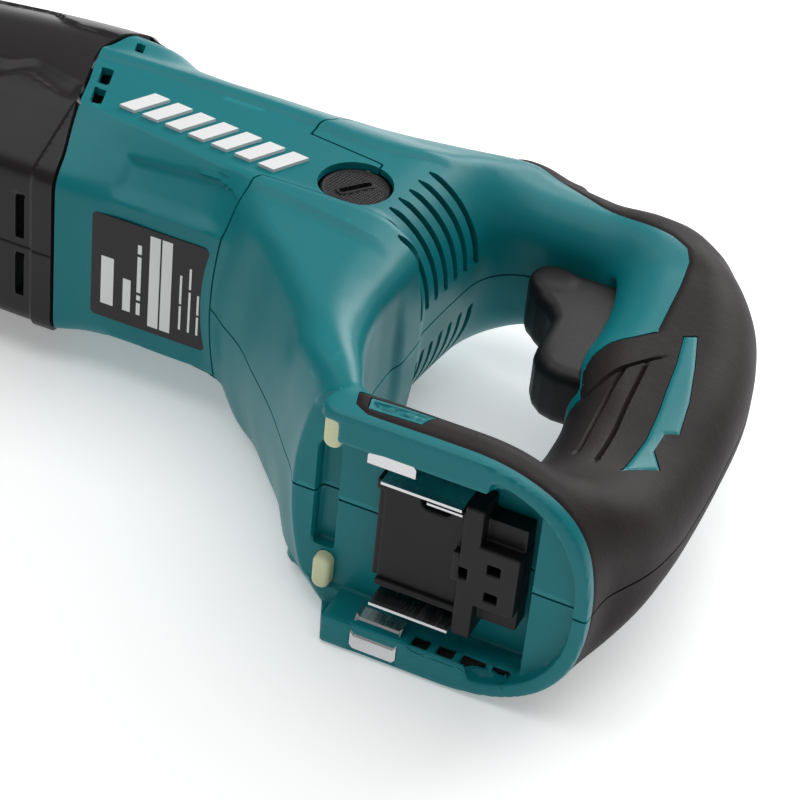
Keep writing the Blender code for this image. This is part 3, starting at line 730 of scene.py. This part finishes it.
TEAL = moulded("teal_plastic", (0.0022, 0.178, 0.200), (0.0018, 0.163, 0.184), 0.36, 1700.0, 0.00003,
               worn=(0.010, 0.225, 0.250), gloss=0.24)
SKIN = moulded("black_elastomer", (0.0170, 0.0115, 0.0118), (0.0130, 0.0090, 0.0094), 0.56, 1000.0, 0.00012,
               worn=(0.034, 0.026, 0.027), gloss=0.16)
BOOT_RUBBER = moulded("boot_rubber", (0.0080, 0.0056, 0.0060), (0.0062, 0.0045, 0.0048), 0.33, 1200.0,
                      0.00004, worn=(0.030, 0.025, 0.026), gloss=0.30)
BLACK = moulded("black_plastic", (0.0100, 0.0078, 0.0082), (0.0075, 0.0062, 0.0065), 0.42, 2000.0, 0.00003,
                worn=(0.032, 0.029, 0.031))
CREAM = moulded("cream_rubber", (0.70, 0.73, 0.47), (0.64, 0.68, 0.42), 0.55, 1500.0, 0.00003)
SEAL = moulded("seal_rubber", (0.020, 0.020, 0.020), (0.014, 0.014, 0.014), 0.75, 900.0, 0.00006)
FOIL = moulded("label_foil", (0.020, 0.017, 0.018), (0.016, 0.014, 0.015), 0.34, 1100.0, 0.00001)
PAPER = moulded("white_print", (0.78, 0.78, 0.77), (0.72, 0.72, 0.72), 0.45, 1500.0, 0.00001)
BADGE = moulded("badge_white", (0.80, 0.81, 0.80), (0.74, 0.75, 0.75), 0.38, 1500.0, 0.00001)
MAGNET = moulded("ferrite", (0.050, 0.050, 0.052), (0.040, 0.040, 0.042), 0.70, 700.0, 0.00008)
CARBON = moulded("carbon", (0.022, 0.022, 0.023), (0.018, 0.018, 0.018), 0.68, 1300.0, 0.00006)
STEEL = metal("steel", (0.27, 0.27, 0.28), 0.36, (0.06, 1.0, 1.0))
GROUND = metal("bright_steel", (0.58, 0.58, 0.59), 0.24, (1.0, 0.05, 1.0), 0.00001)
CAST = metal("cast_aluminium", (0.30, 0.30, 0.31), 0.50, (0.4, 0.4, 0.4), 0.00012)
BRONZE = metal("bronze", (0.62, 0.43, 0.20), 0.40, tarnish=(0.42, 0.27, 0.13))
COPPER = metal("copper", (0.74, 0.36, 0.21), 0.34, tarnish=(0.48, 0.22, 0.13))


# ------ shells
TRIGGER_SLOT = ((-9.0, 77.0, -10.6), (31.0, 134.6, 10.6))
SIDE_LINES = (-0.3, 0.3, 4.7, 5.3)
RIDGE_LINES = (-0.4, 0.0, 0.4)


def trigger_slot(p):
    return box_field(p, *TRIGGER_SLOT, 1.5)


def handle_form(p):
    """The handle with its trigger slot and battery bay cut in."""
    shape = smooth_max(handle_outside(p), -trigger_slot(p), 1.2)
    return smooth_max(shape, -battery_bay(p), 0.9)


def beside(p, values):
    """Values where the surface is the casing's side, and positive elsewhere."""
    return np.where((np.abs(p[..., 2]) > 33) & (p[..., 0] < -26), values, 1.0)


def crease(mesh):
    """Run mesh edges along the sharp lines of the casing's side."""
    for shift in RIDGE_LINES:
        mesh = split(mesh, lambda p: beside(p, p[..., 1] - ridge_y(p[..., 0]) - shift))
    for shift in SIDE_LINES:
        mesh = split(mesh, lambda p: beside(p, p[..., 1] - along(p[..., 0], CASING_ROWS)[2] - shift))
    return mesh


def motor_shell():
    """Front of the motor casing, open towards the boot and the handle."""
    form = handle_outside
    mesh = surface_net(form, (-157, 64, -2.4), (-50, 170, 43), 1.2)
    mesh = trim(mesh, lambda p: p[..., 2], lambda p: boot_seam(p) - 0.5, lambda p: -SEAM - housing_seam(p))
    points, faces = crease(trim(mesh, brush_edge, housing_slots))
    points = np.where(points[:, 2:] < 1e-6, points, settle(form, points, 0.6))
    mesh = both_sides((points, faces))
    mesh = thicken(mesh, inward(form, mesh[0]), SHELL)
    piece("motor_shell", mesh, TEAL, "teal_plastic", "motor_housing")


def right_form(p):
    """The handle's right half, mirrored to the left."""
    return smooth_max(handle_form(p), -right_hollows(p), 0.4)


def handle_sheet(form, hollow):
    """One half of the handle's surface on the left side, with seams and openings still to be cut."""
    mesh = surface_net(form, (-92, -4, -2.4), (75, 169, 42), 1.15)
    mesh = trim(mesh, lambda p: p[..., 2] - SEAM)
    for corner in (battery_bay, trigger_slot) + hollow:
        mesh = split(mesh, lambda p: handle_outside(p) + corner(p))
    points, faces = crease(mesh)
    return settle(form, points, 0.6, 3), faces


def skin_field(p):
    """Negative on the soft skin: inside its outline, but not in the battery bay or the trigger slot."""
    return np.maximum(cover_edge(p), 1.2 - np.minimum(battery_bay(p), trigger_slot(p)))


def handle_shell(side, form, mesh):
    mesh = trim(mesh, lambda p: housing_seam(p) - SEAM, lambda p: skin_field(p) - 0.12)
    mesh = trim(mesh, brush_edge, vent_edge)
    points = settle(form, mesh[0], 0.6, 2)
    mesh = thicken((points, mesh[1]), inward(form, points), HANDLE_WALL)
    mesh = mirror(mesh) if side == "right" else mesh
    piece(f"handle_shell_{side}", mesh, TEAL, "teal_plastic", f"handle_{side}")


# Finger grooves on the lower grip: where each line runs, as rows of (y, x)
GROOVE_ROWS = (
    ((38, 39.2), (44, 39.0), (56, 37.8), (68, 36.9), (77, 36.3), (85, 36.3)),
    ((36, 45.5), (44, 45.2), (55, 44.5), (69, 42.8), (79, 41.9), (90, 41.0)),
)
GROOVE_HALF = 0.75
SHOULDER_ROWS = ((70, 28.5), (75.6, 31.8), (80.5, 33.8), (84.4, 35.8), (90.5, 40.4), (96, 45.2))


def groove_lines(p):
    """Signed distances across the grip's grooves, each with a factor that fades it out and its depth."""
    x, y = xy(p)
    found = []
    for rows in GROOVE_ROWS:
        ends = ease(y, rows[0][0], rows[0][0] + 6) * ease(y, rows[-1][0] + 1, rows[-1][0] - 2)
        found.append((x - along(y, rows)[0], ends, 1.3))
    ends = ease(y, 70, 73) * ease(y, 96, 92)
    found.append(((x - along(y, SHOULDER_ROWS)[0]) * 0.8, ends, 1.9))
    return found


def groove_edge(p, index, shift):
    """Zero along a line beside the middle of one groove."""
    line = groove_lines(p)[index][0]
    return np.where((np.abs(line) < 5) & (p[..., 1] < 100), line - shift, 1.0)


def skin_relief(p):
    """How far the soft skin stands proud: rolled borders, sunk grooves and a thicker pad over the arm."""
    x, y, az = folded(p)
    relief = 0.45 * ease(-skin_field(p), 0.0, 1.4) - 0.25
    for line, ends, depth in groove_lines(p):
        relief = relief - depth * ends * np.clip(1 - np.abs(line) / GROOVE_HALF, 0, 1) * ease(az, 3, 6)
    pad = ease(x, -31, -28) * ease(x, -4.5, -7) * ease(y, 157.5, 160.5)
    return relief + 0.9 * pad


def grip_skin(side, form, mesh):
    mesh = trim(mesh, lambda p: -skin_field(p) - 0.05)
    mesh = split(mesh, lambda p: -skin_field(p) - 0.9)
    for index in range(3):
        for shift in (-GROOVE_HALF, 0.0, GROOVE_HALF):
            mesh = split(mesh, lambda p: groove_edge(p, index, shift))
    for edge in (-28.0, -6.0):
        mesh = split(mesh, lambda p: np.where(p[..., 1] > 150, p[..., 0] - edge, 1.0))
    mesh = trim(mesh, lambda p: flash_edge(p) - 0.1, lambda p: window_edge(p) - 0.2)
    points = settle(form, mesh[0], 0.6, 2)
    direction = inward(form, points)
    mesh = thicken((points - direction * skin_relief(points)[:, None], mesh[1]), direction, SKIN_WALL)
    mesh = mirror(mesh) if side == "right" else mesh
    piece(f"grip_skin_{side}", mesh, SKIN, "black_elastomer", f"grip_cover_{side}", sharp=50.0)


def handle():
    """Both halves of the handle with their soft skins."""
    for side, form, hollow in (("left", handle_form, ()), ("right", right_form, (right_hollows,))):
        mesh = handle_sheet(form, hollow)
        handle_shell(side, form, mesh)
        grip_skin(side, form, mesh)


# The coloured flash let into the side of the grip, as (x, y)
FLASH_OUTLINE = (
    (45.9, 106.4), (49.4, 108.4), (53.6, 95), (57.6, 80), (60.2, 65), (56.8, 62.4),
    (56.9, 53.5), (61.2, 46.8), (53.0, 38.2), (53.2, 57), (51.6, 72), (50.0, 82), (48.4, 94),
)


def flash_edge(p):
    """Negative on the coloured flash in the side of the grip."""
    return np.where(np.abs(p[..., 2]) > 6, outline_field(*xy(p), FLASH_OUTLINE), ELSEWHERE)


def grip_flashes():
    """Coloured flashes in the grip; the right one is holed over the lower grip screw."""
    mesh = surface_net(handle_form, (42, 34, 5), (65, 112, 26), 0.8)
    mesh = trim(mesh, lambda p: -0.1 - flash_edge(p))
    points, faces = split(mesh, lambda p: -flash_edge(p) - 0.7)
    points = settle(handle_form, points, 0.5, 2)
    direction = inward(handle_form, points)
    crown = 0.35 * ease(-flash_edge(points), 0.0, 1.0) - 0.1
    mesh = thicken((points - direction * crown[:, None], faces), direction, 1.2)
    x, y, _ = SCREW_SEATS[3]
    holed = trim(mesh, lambda p: np.hypot(p[..., 0] - x, p[..., 1] - y) - WELL_RADIUS - 0.6)
    pair("grip_flash", mesh, holed, TEAL, "teal_plastic")


# The window let into the front of the skin's band round the foot, as (x, y)
WINDOW_OUTLINE = ((-8.6, 9.2), (9.4, 11.4), (7.6, 5.4), (-7.4, 4.4))


def window_edge(p):
    """Negative in the window in the band round the foot."""
    low = (p[..., 1] < 14) & (np.abs(p[..., 2]) > 30)
    return np.where(low, outline_field(*xy(p), WINDOW_OUTLINE), ELSEWHERE)


def foot_windows():
    """Coloured inlays with a rim and plain raised bars, let into the band round the foot."""
    mesh = surface_net(handle_outside, (-12, 1, 30), (13, 15, 42), 0.6)
    mesh = trim(mesh, lambda p: -window_edge(p) - 0.15)
    for inset in (1.0, 1.4):
        mesh = split(mesh, lambda p: -window_edge(p) - inset)
    points = settle(handle_outside, mesh[0], 0.4, 2)
    direction = inward(handle_outside, points)
    lean = points[:, 0] - 0.7 * points[:, 1]
    bars = ease(np.abs((lean + 0.6) % 4.6 - 2.3), 1.5, 1.1) * ease(-window_edge(points), 1.7, 2.1)
    relief = 0.15 - 0.6 * ease(-window_edge(points), 0.9, 1.5) + 0.5 * bars
    mesh = thicken((points - direction * relief[:, None], mesh[1]), direction, 1.4)
    pair("foot_window", mesh, mesh, TEAL, "teal_plastic")


# ------ front boot
# Rows of the boot: x, bottom, its half-width, ridge height, top, half-width
BOOT_ROWS = (
    (-138, 69.4, 27.8, 96.0, 163.8, 39.7),
    (-151, 69.2, 27.8, 98.0, 163.8, 39.8),
    (-170, 69.6, 27.6, 97.0, 162.8, 39.5),
    (-205, 72.2, 26.0, 94.5, 159.0, 38.0),
    (-245, 77.2, 22.0, 95.0, 152.8, 35.4),
    (-275, 82.2, 19.0, 97.0, 148.8, 31.0),
    (-300, 86.2, 16.0, 99.0, 146.8, 26.0),
)
# The wavy edge along the boot's side, as (x, y)
BOOT_CREST = (
    (-300, 98), (-240, 97), (-180, 97), (-172.7, 97), (-168.6, 101), (-161, 99.6), (-154, 97.4),
    (-146, 96.6),
)
# Lower edge of the raised pad over the boot's roof, as (x, y)
BOOT_PAD = (
    (-300, 131), (-262, 133), (-250, 142), (-200, 146), (-184, 148), (-174, 139), (-160, 137), (-150, 136),
)


def boot_form(p):
    """The rubber boot: a tapered casing with a rolled collar, finger ribs and a raised roof pad."""
    x, y, az = folded(p)
    low, flat, ridge, top, half = along(x, BOOT_ROWS)
    shape = smooth_max(low - y, facet(az, y, (flat, low), (half, ridge)), 4.0)
    shape = smooth_max(shape, az - half, 3.0)
    rise = top - ridge
    corners = ((half, ridge + 0.45 * rise), (half * 0.88, top - 0.22 * rise))
    corners += ((half * 0.56, top - 0.03 * rise), (0, top))
    for start, end, size in zip(corners, corners[1:], (6.0, 11.0, 9.0)):
        shape = smooth_max(shape, facet(az, y, start, end), size)
    collar = ease(x, -146.6, -145.4)
    shape = shape + 0.8 - 0.8 * collar
    crest = along(x, BOOT_CREST)[0]
    groove = ease(y - crest, 0.4, 2.0) * ease(y - crest, 9.0, 4.5) * (az > 28) * ease(x, -147, -150)
    shape = shape + 1.3 * groove * ease(x, -292, -280)
    rib_count, first_rib, rib_pitch = 7, -196.0, 11.0
    for index in range(rib_count):
        middle = first_rib - rib_pitch * index
        rib = ease(np.abs(x - middle), 3.6, 2.2) * ease(y, ridge + 4, ridge - 2) * ease(az, 9, 11)
        shape = shape - 0.75 * rib
    pad = ease(y - along(x, BOOT_PAD)[0], -0.5, 0.7) * ease(x, -149.5, -151)
    return shape - 1.0 * pad


def boot_openings(p):
    """Negative in the cooling slots under the boot and round the shoe lock button."""
    x, y, z = p[..., 0], p[..., 1], p[..., 2]
    beyond = 9.0
    slots = np.full(x.shape, beyond)
    for middle in (10.4, -10.4):
        slots = np.minimum(slots, rounded_box(x, z, (-149.9, middle), (1.5, 7.8), 0.7))
    slots = np.where(y < 74, slots, beyond)
    button = np.where(z > 5, np.hypot(x - LOCK_BUTTON[0], y - LOCK_BUTTON[1]) - 7.4, beyond)
    return np.minimum(slots, button)


def boot_skin():
    mesh = surface_net(boot_form, (-301.5, 64, -42.5), (-137, 167, 42.5), 1.4)
    mesh = trim(mesh, lambda p: -0.35 - boot_seam(p), lambda p: p[..., 0] + 300.0, boot_openings)
    for side in (-1, 1):
        mesh = split(mesh, lambda p: np.where(p[..., 1] < 130, p[..., 2] * side - 0.35, 1.0))
    for place in (-146.6, -145.4):
        mesh = split(mesh, lambda p: p[..., 0] - place)
    points = settle(boot_form, mesh[0], 0.6)
    direction = inward(boot_form, points)
    parting = (np.abs(points[:, 2]) < 0.3) & (points[:, 1] < 90)
    mesh = thicken((points + direction * (0.5 * parting)[:, None], mesh[1]), direction, SKIN_WALL)
    piece("boot_skin", mesh, BOOT_RUBBER, "black_elastomer", "boot_cover", sharp=45.0)


# ------ small pieces
def flat_sheet(u_span, v_span, step):
    """A grid of triangles over a rectangle, as (u, v, 0) points."""
    us = np.linspace(*u_span, int((u_span[1] - u_span[0]) / step) + 2)
    vs = np.linspace(*v_span, int((v_span[1] - v_span[0]) / step) + 2)
    grid = np.stack(np.meshgrid(us, vs, indexing="ij"), axis=-1)
    points = np.concatenate([grid.reshape(-1, 2), np.zeros((grid.size // 2, 1))], axis=1)
    index = np.arange(len(us) * len(vs)).reshape(len(us), len(vs))
    a, b, c, d = (part.ravel() for part in (index[:-1, :-1], index[1:, :-1], index[1:, 1:], index[:-1, 1:]))
    return points, np.concatenate([np.stack([a, b, c], 1), np.stack([a, c, d], 1)])


def brush_caps():
    """Screw-in brush caps with a waffled face and a rimmed driver slot."""
    radius, face_z, pitch = 10.3, 36.0, 1.05
    slot_turn = math.radians(52)
    mesh = flat_sheet((-radius, radius), (-radius, radius), 0.26)
    points, faces = trim(mesh, lambda p: radius - np.hypot(p[..., 0], p[..., 1]))
    u = points[:, 0] * math.cos(slot_turn) + points[:, 1] * math.sin(slot_turn)
    v = points[:, 1] * math.cos(slot_turn) - points[:, 0] * math.sin(slot_turn)
    slot = rounded_box(u, v, (0, 0), (5.0, 0.85), 0.8)
    ribs = np.abs(((u + 0.45 * v) / pitch) % 1 - 0.5) * np.abs(((v - 0.45 * u) / pitch) % 1 - 0.5) * 4
    height = -0.45 * ribs * ease(slot, 0.9, 1.2) * ease(radius - np.hypot(u, v), 0.8, 1.3)
    height += 0.3 * ease(slot, 1.3, 1.0) - 1.7 * ease(slot, 0.15, -0.1)
    height -= 0.5 * ease(radius - np.hypot(u, v), 0.5, 0.0)
    points = points + np.stack([0 * u + BRUSH[0], 0 * u + BRUSH[1], face_z + height], axis=1)
    mesh = thicken((points, faces), (0, 0, -1), 3.4)
    pair("brush_cap_face", mesh, mesh, BLACK, "black_plastic", "brush_cap")


def bumpers():
    """Cream rubber stops for the battery, rounded at both ends."""
    for side, sign in (("left", 1), ("right", -1)):
        low, high = sorted((19.2 * sign, 30.2 * sign))

        def form(p):
            ends = rounded_box(p[..., 0], p[..., 2], (-18.4, (low + high) / 2), (2.7, 5.6), 2.6)
            return smooth_max(ends, 8.2 - p[..., 1], 1.6)

        mesh = surface_net(form, (-24, 2, low - 2), (-15, 12.6, high + 2), 0.45)
        mesh = trim(mesh, lambda p: 11.6 - p[..., 1])
        piece(f"battery_stop_{side}", mesh, CREAM, "cream_rubber", f"foot_bumper_{side}")


def rail_plates():
    """Folded steel plates on the rails: a flat foot, a sloping web and a leg into the rail."""
    left = ((30.9, -0.95), (26.9, -0.95), (25.9, 0.4), (25.9, 4.2))
    right = ((37.9, -1.1), (33.6, -1.1), (29.4, 2.6), (28.6, 6.4))
    thick = 0.45
    for side, sign, rows in (("left", 1, left), ("right", -1, right)):
        outline = np.array(rows)
        inner = outline + np.array([[0, thick], [0.2, thick], [thick, 0.3], [thick, 0]])
        ring = np.concatenate([outline, inner[::-1]])
        stations = ((-4.0, 1.2), (-3.0, 0.0), (8.8, 0.0), (9.8, 1.2))
        points = [(x, y, sign * (z - shrink * (z > 29))) for x, shrink in stations for z, y in ring]
        count = len(ring)
        faces = []
        for row in range(3):
            for k in range(count):
                a, b = row * count + k, row * count + (k + 1) % count
                faces += [(a, b, b + count), (a, b + count, a + count)]
        for k in range(3):
            faces += [(k, count - 1 - k, k + 1), (k + 1, count - 1 - k, count - 2 - k)]
            base = 3 * count
            faces += [(base + k, base + k + 1, base + count - 1 - k)]
            faces += [(base + k + 1, base + count - 2 - k, base + count - 1 - k)]
        mesh = np.array(points), np.array(faces)
        outward(piece(f"rail_lining_{side}", mesh, GROUND, "bright_steel", f"rail_plate_{side}", sharp=25.0))


def outward(made):
    """Turn a closed mesh's faces outwards."""
    shape = bmesh.new()
    shape.from_mesh(made.data)
    bmesh.ops.recalc_face_normals(shape, faces=shape.faces)
    shape.to_mesh(made.data)
    shape.free()


def terminal_form(p):
    """The battery terminal holder: a plate with a raised border, a cross bar, a stem and its sockets."""
    x, y, z = p[..., 0], p[..., 1], p[..., 2]
    plate = box_field(p, (-3.2, 5.6, -17.4), (40.4, 11.6, 17.4), 0.5)
    border = box_field(p, (-3.2, 4.3, -17.6), (24.0, 11.6, -15.6), 0.4)
    cross = box_field(p, (23.6, 1.4, -22.0), (29.0, 11.6, 22.0), 0.5)
    stem = box_field(p, (23.6, 1.4, -10.2), (40.4, 11.6, 10.2), 0.5)
    tab = box_field(p, (21.2, 2.6, -4.8), (25.0, 11.6, 4.8), 0.4)
    shape = smooth_min(np.minimum(plate, border), np.minimum(np.minimum(cross, stem), tab), 0.6)
    sockets = ((31.6, 35.4, 2.2, 5.4), (31.6, 35.4, -7.2, -4.2), (23.4, 26.2, -2.4, 1.4))
    for x_low, x_high, z_low, z_high in sockets:
        hole = box_field(p, (x_low, -2, z_low), (x_high, 7.5, z_high), 0.3)
        shape = smooth_max(shape, -hole, 0.5)
    notch = rounded_box(x, z, (14.2, 15.2), (4.6, 2.6), 2.4)
    shape = smooth_max(shape, -np.maximum(notch, 3.5 - y), 0.5)
    return smooth_max(shape, -box_field(p, (-4, 4, -20), (-0.8, 8.2, 14), 0.5), 0.5)


def terminal_holder():
    mesh = surface_net(terminal_form, (-5, 0, -24), (42, 13, 24), 0.5)
    piece("terminal_holder", mesh, BLACK, "black_plastic", "terminal_block", sharp=50.0)


TRIGGER_OUTLINE = (
    (12.0, 133.6), (-3.0, 133.4), (-7.4, 130.4), (-8.4, 125.5), (-6.4, 120.5), (-2.5, 116.0),
    (1.8, 112.5), (4.6, 108.0), (5.2, 102.0), (5.6, 96.5), (6.8, 91.0), (9.2, 87.0),
    (12.6, 84.4), (17.0, 83.2), (26, 83.6), (26, 133.4),
)


def trigger_form(p):
    """A trigger with a rolled top, a hollowed finger face and a rounded nose."""
    x, y, az = folded(p)
    half = 9.6 - 0.9 * ease(y, 100, 82) * ease(x, 14, 6)
    shape = smooth_max(outline_field(x, y, TRIGGER_OUTLINE) + 0.3, az - half, 4.2)
    roll = np.hypot(x + 1.4, y - 126.4) - 6.6
    shape = smooth_min(shape, smooth_max(roll, az - 9.3, 2.5), 2.0)
    finger = ease(np.abs(y - 103), 15, 3) * ease(x, 14, 4)
    return shape + 1.3 * finger * (1 - np.clip(az / 9.6, 0, 1) ** 2)


def trigger_piece():
    mesh = surface_net(trigger_form, (-11.5, 80, -11), (27, 136, 11), 0.6)
    piece("trigger_moulding", mesh, BLACK, "black_plastic", "trigger", body="trigger", sharp=60.0)


# ------ label and badge
LABEL_Y = 72.6
LABEL_X = (-127.2, -88.4)
LABEL_Z = (-17.4, 19.2)
PRINT = 0.3  # thickness of the label and of its print


def quads(outlines):
    """Four-cornered outlines as one mesh."""
    points = np.array(outlines, float).reshape(-1, 3)
    first = np.arange(0, len(points), 4)[:, None]
    return points, np.concatenate([first + [0, 1, 2], first + [0, 2, 3]])


def label_plate():
    """Dark foil rating plate with rounded corners."""
    middle = (sum(LABEL_X) / 2, sum(LABEL_Z) / 2)
    half = ((LABEL_X[1] - LABEL_X[0]) / 2, (LABEL_Z[1] - LABEL_Z[0]) / 2)
    mesh = flat_sheet(LABEL_X, LABEL_Z, 1.2)
    flat, faces = trim(mesh, lambda p: -rounded_box(p[..., 0], p[..., 1], middle, half, 2.0))
    points = np.stack([flat[:, 0], np.full(len(flat), LABEL_Y), flat[:, 1]], axis=1)
    piece("rating_plate", thicken((points, faces), (0, 1, 0), PRINT), FOIL, "label_foil", "name_plate")


def bar_set(name, bars, finish):
    """Thin printed bars on the rating plate, each from its x and z ranges."""
    y = LABEL_Y - 0.04
    corners = [((a, y, c), (b, y, c), (b, y, d), (a, y, d)) for a, b, c, d in bars]
    piece(name, thicken(quads(corners), (0, 1, 0), PRINT), finish, "label_foil")


def label_print():
    """Blank bars where a rating plate has its lines of print, and two blank white strips."""
    bars = []
    for x, width, runs in (
        (-123.6, 4.2, ((-12.5, 4.6),)),
        (-116.2, 2.6, ((-12.5, -1.0),)),
        (-111.6, 1.3, ((-12.5, -8.2), (-7.2, -5.4), (-4.4, 8.4), (9.4, 12.6))),
        (-97.4, 0.7, ((-12.5, -4.0), (-3.2, 7.0))),
        (-94.4, 0.7, ((-12.5, 2.0), (3.0, 10.4))),
        (-91.6, 0.7, ((-12.5, -6.0), (-5.2, 1.8))),
    ):
        bars += [(x, x + width, low, high) for low, high in runs]
    bar_set("plate_lines", bars, BADGE)
    bar_set("plate_strips", [(x, x + 3.4, -15.2, 17.2) for x in (-107.6, -103.6)], PAPER)


def side_badge():
    """A row of plain slanted white bars, raised from the flat sides of the casing."""
    count, pitch, width, lean, drop = 7, 8.2, 5.4, 0.55, -0.13
    first, low_y, height, thick = -134.0, 100.4, 11.0, 1.2
    z = PANEL_Z + 0.75
    bars = []
    for index in range(count):
        left, base = first + pitch * index, low_y + drop * pitch * index
        upper, fall = left + lean * height, drop * width
        bars.append((
            (left, base, z), (left + width, base + fall, z),
            (upper + width, base + height + fall, z), (upper, base + height, z),
        ))
    mesh = thicken(quads(bars), (0, 0, -1), thick)
    pair("side_badge", mesh, mesh, BADGE, "cream_rubber")


# ------ carried-over nodes
NODE_FINISHES = (
    (STEEL, (
        "armature_core", "blade_clamp", "brush_spring_left", "brush_spring_right", "clamp_sleeve",
        "crank_bearing", "crank_gear", "crank_pin", "crank_spindle", "motor_bearing_front",
        "motor_bearing_rear", "motor_can", "motor_shaft", "pinion", "plunger_yoke", "shoe_pivot_pin",
        "shoe_plate", "shoe_slide_bar", "slide_guide_left", "slide_guide_right",
        *(f"handle_screw_{number}" for number in range(1, 6)),
    )),
    (GROUND, ("plunger_rod", "saw_blade", "terminal_negative", "terminal_positive", "terminal_signal")),
    (CAST, ("bearing_bracket", "gear_housing")),
    (BLACK, ("cooling_fan", "shoe_lock_button", "switch_body")),
    (CARBON, ("carbon_brush_left", "carbon_brush_right")),
    (MAGNET, ("magnet_lower", "magnet_upper")),
    (COPPER, ("commutator",)),
    (BRONZE, ("plunger_bush",)),
    (SEAL, ("plunger_seal",)),
)


def finish_nodes():
    """Give every CAD node that stays in view its procedural finish."""
    for finish, names in NODE_FINISHES:
        for name in names:
            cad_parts[name].data.materials.clear()
            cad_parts[name].data.materials.append(finish)


# ------ stage
WHITE = (1.0, 1.0, 1.0, 1.0)


def camera():
    """The photograph's view: how far the camera turns, looks down and leans, and where it points."""
    turn, fall, lean = (math.radians(angle) for angle in (20.96, 37.51, 6.15))
    back = Vector((math.sin(turn) * math.cos(fall), -math.cos(turn) * math.cos(fall), math.sin(fall)))
    level = Vector((math.cos(turn), math.sin(turn), 0))
    upright = back.cross(level)
    distance = 0.8228
    right = math.cos(lean) * level + math.sin(lean) * upright
    up = math.cos(lean) * upright - math.sin(lean) * level
    data = bpy.data.cameras.new("camera")
    data.sensor_width = 36.0
    data.lens = 131.2
    data.clip_start = 0.01
    made = link(bpy.data.objects.new("camera", data))
    target = Vector(ORIGIN + np.array([-19.82, 59.19, 0.96]) * MM)
    place = target + back * distance
    rows = [(*row, end) for row, end in zip(zip(right, up, back), place)]
    made.matrix_world = Matrix(rows + [(0, 0, 0, 1)])
    bpy.context.scene.camera = made


def soft_light(name, place, aim, size, power):
    data = bpy.data.lights.new(name, "AREA")
    data.shape = "RECTANGLE"
    data.size, data.size_y = size
    data.energy = power
    made = link(bpy.data.objects.new(name, data))
    made.location = place
    made.rotation_euler = (Vector(place) - Vector(aim)).to_track_quat("Z", "Y").to_euler()


def stage():
    """A pale floor, a white surround and soft lights."""
    glow = 0.27
    bpy.ops.mesh.primitive_plane_add(size=8.0, location=(0, 0, -0.0002))
    floor = bpy.context.object
    floor.name = "floor"
    made, tree, shader = node_tree("pale_floor")
    fill(shader, Base_Color=(0.96, 0.96, 0.965, 1.0), Roughness=0.55)
    fill(shader, Emission_Color=WHITE, Emission_Strength=glow)
    floor.data.materials.append(made)
    world = bpy.data.worlds.new("surround")
    world.use_nodes = True
    fill(world.node_tree.nodes["Background"], Color=WHITE, Strength=glow)
    bpy.context.scene.world = world
    bpy.context.scene.view_settings.view_transform = "Standard"
    aim = (0.18, 0.0, 0.03)
    soft_light("overhead", (0.15, 0.15, 1.35), aim, (1.9, 1.6), 15.0)
    soft_light("behind", (0.5, 1.15, 0.62), aim, (1.3, 0.5), 12.0)
    soft_light("front", (-0.6, -1.0, 0.8), aim, (0.8, 0.6), 0.4)


# ------ making
camera()
finish_nodes()
motor_shell()
boot_skin()
handle()
grip_flashes()
foot_windows()
brush_caps()
trigger_piece()
terminal_holder()
bumpers()
rail_plates()
label_plate()
label_print()
side_badge()
stage()
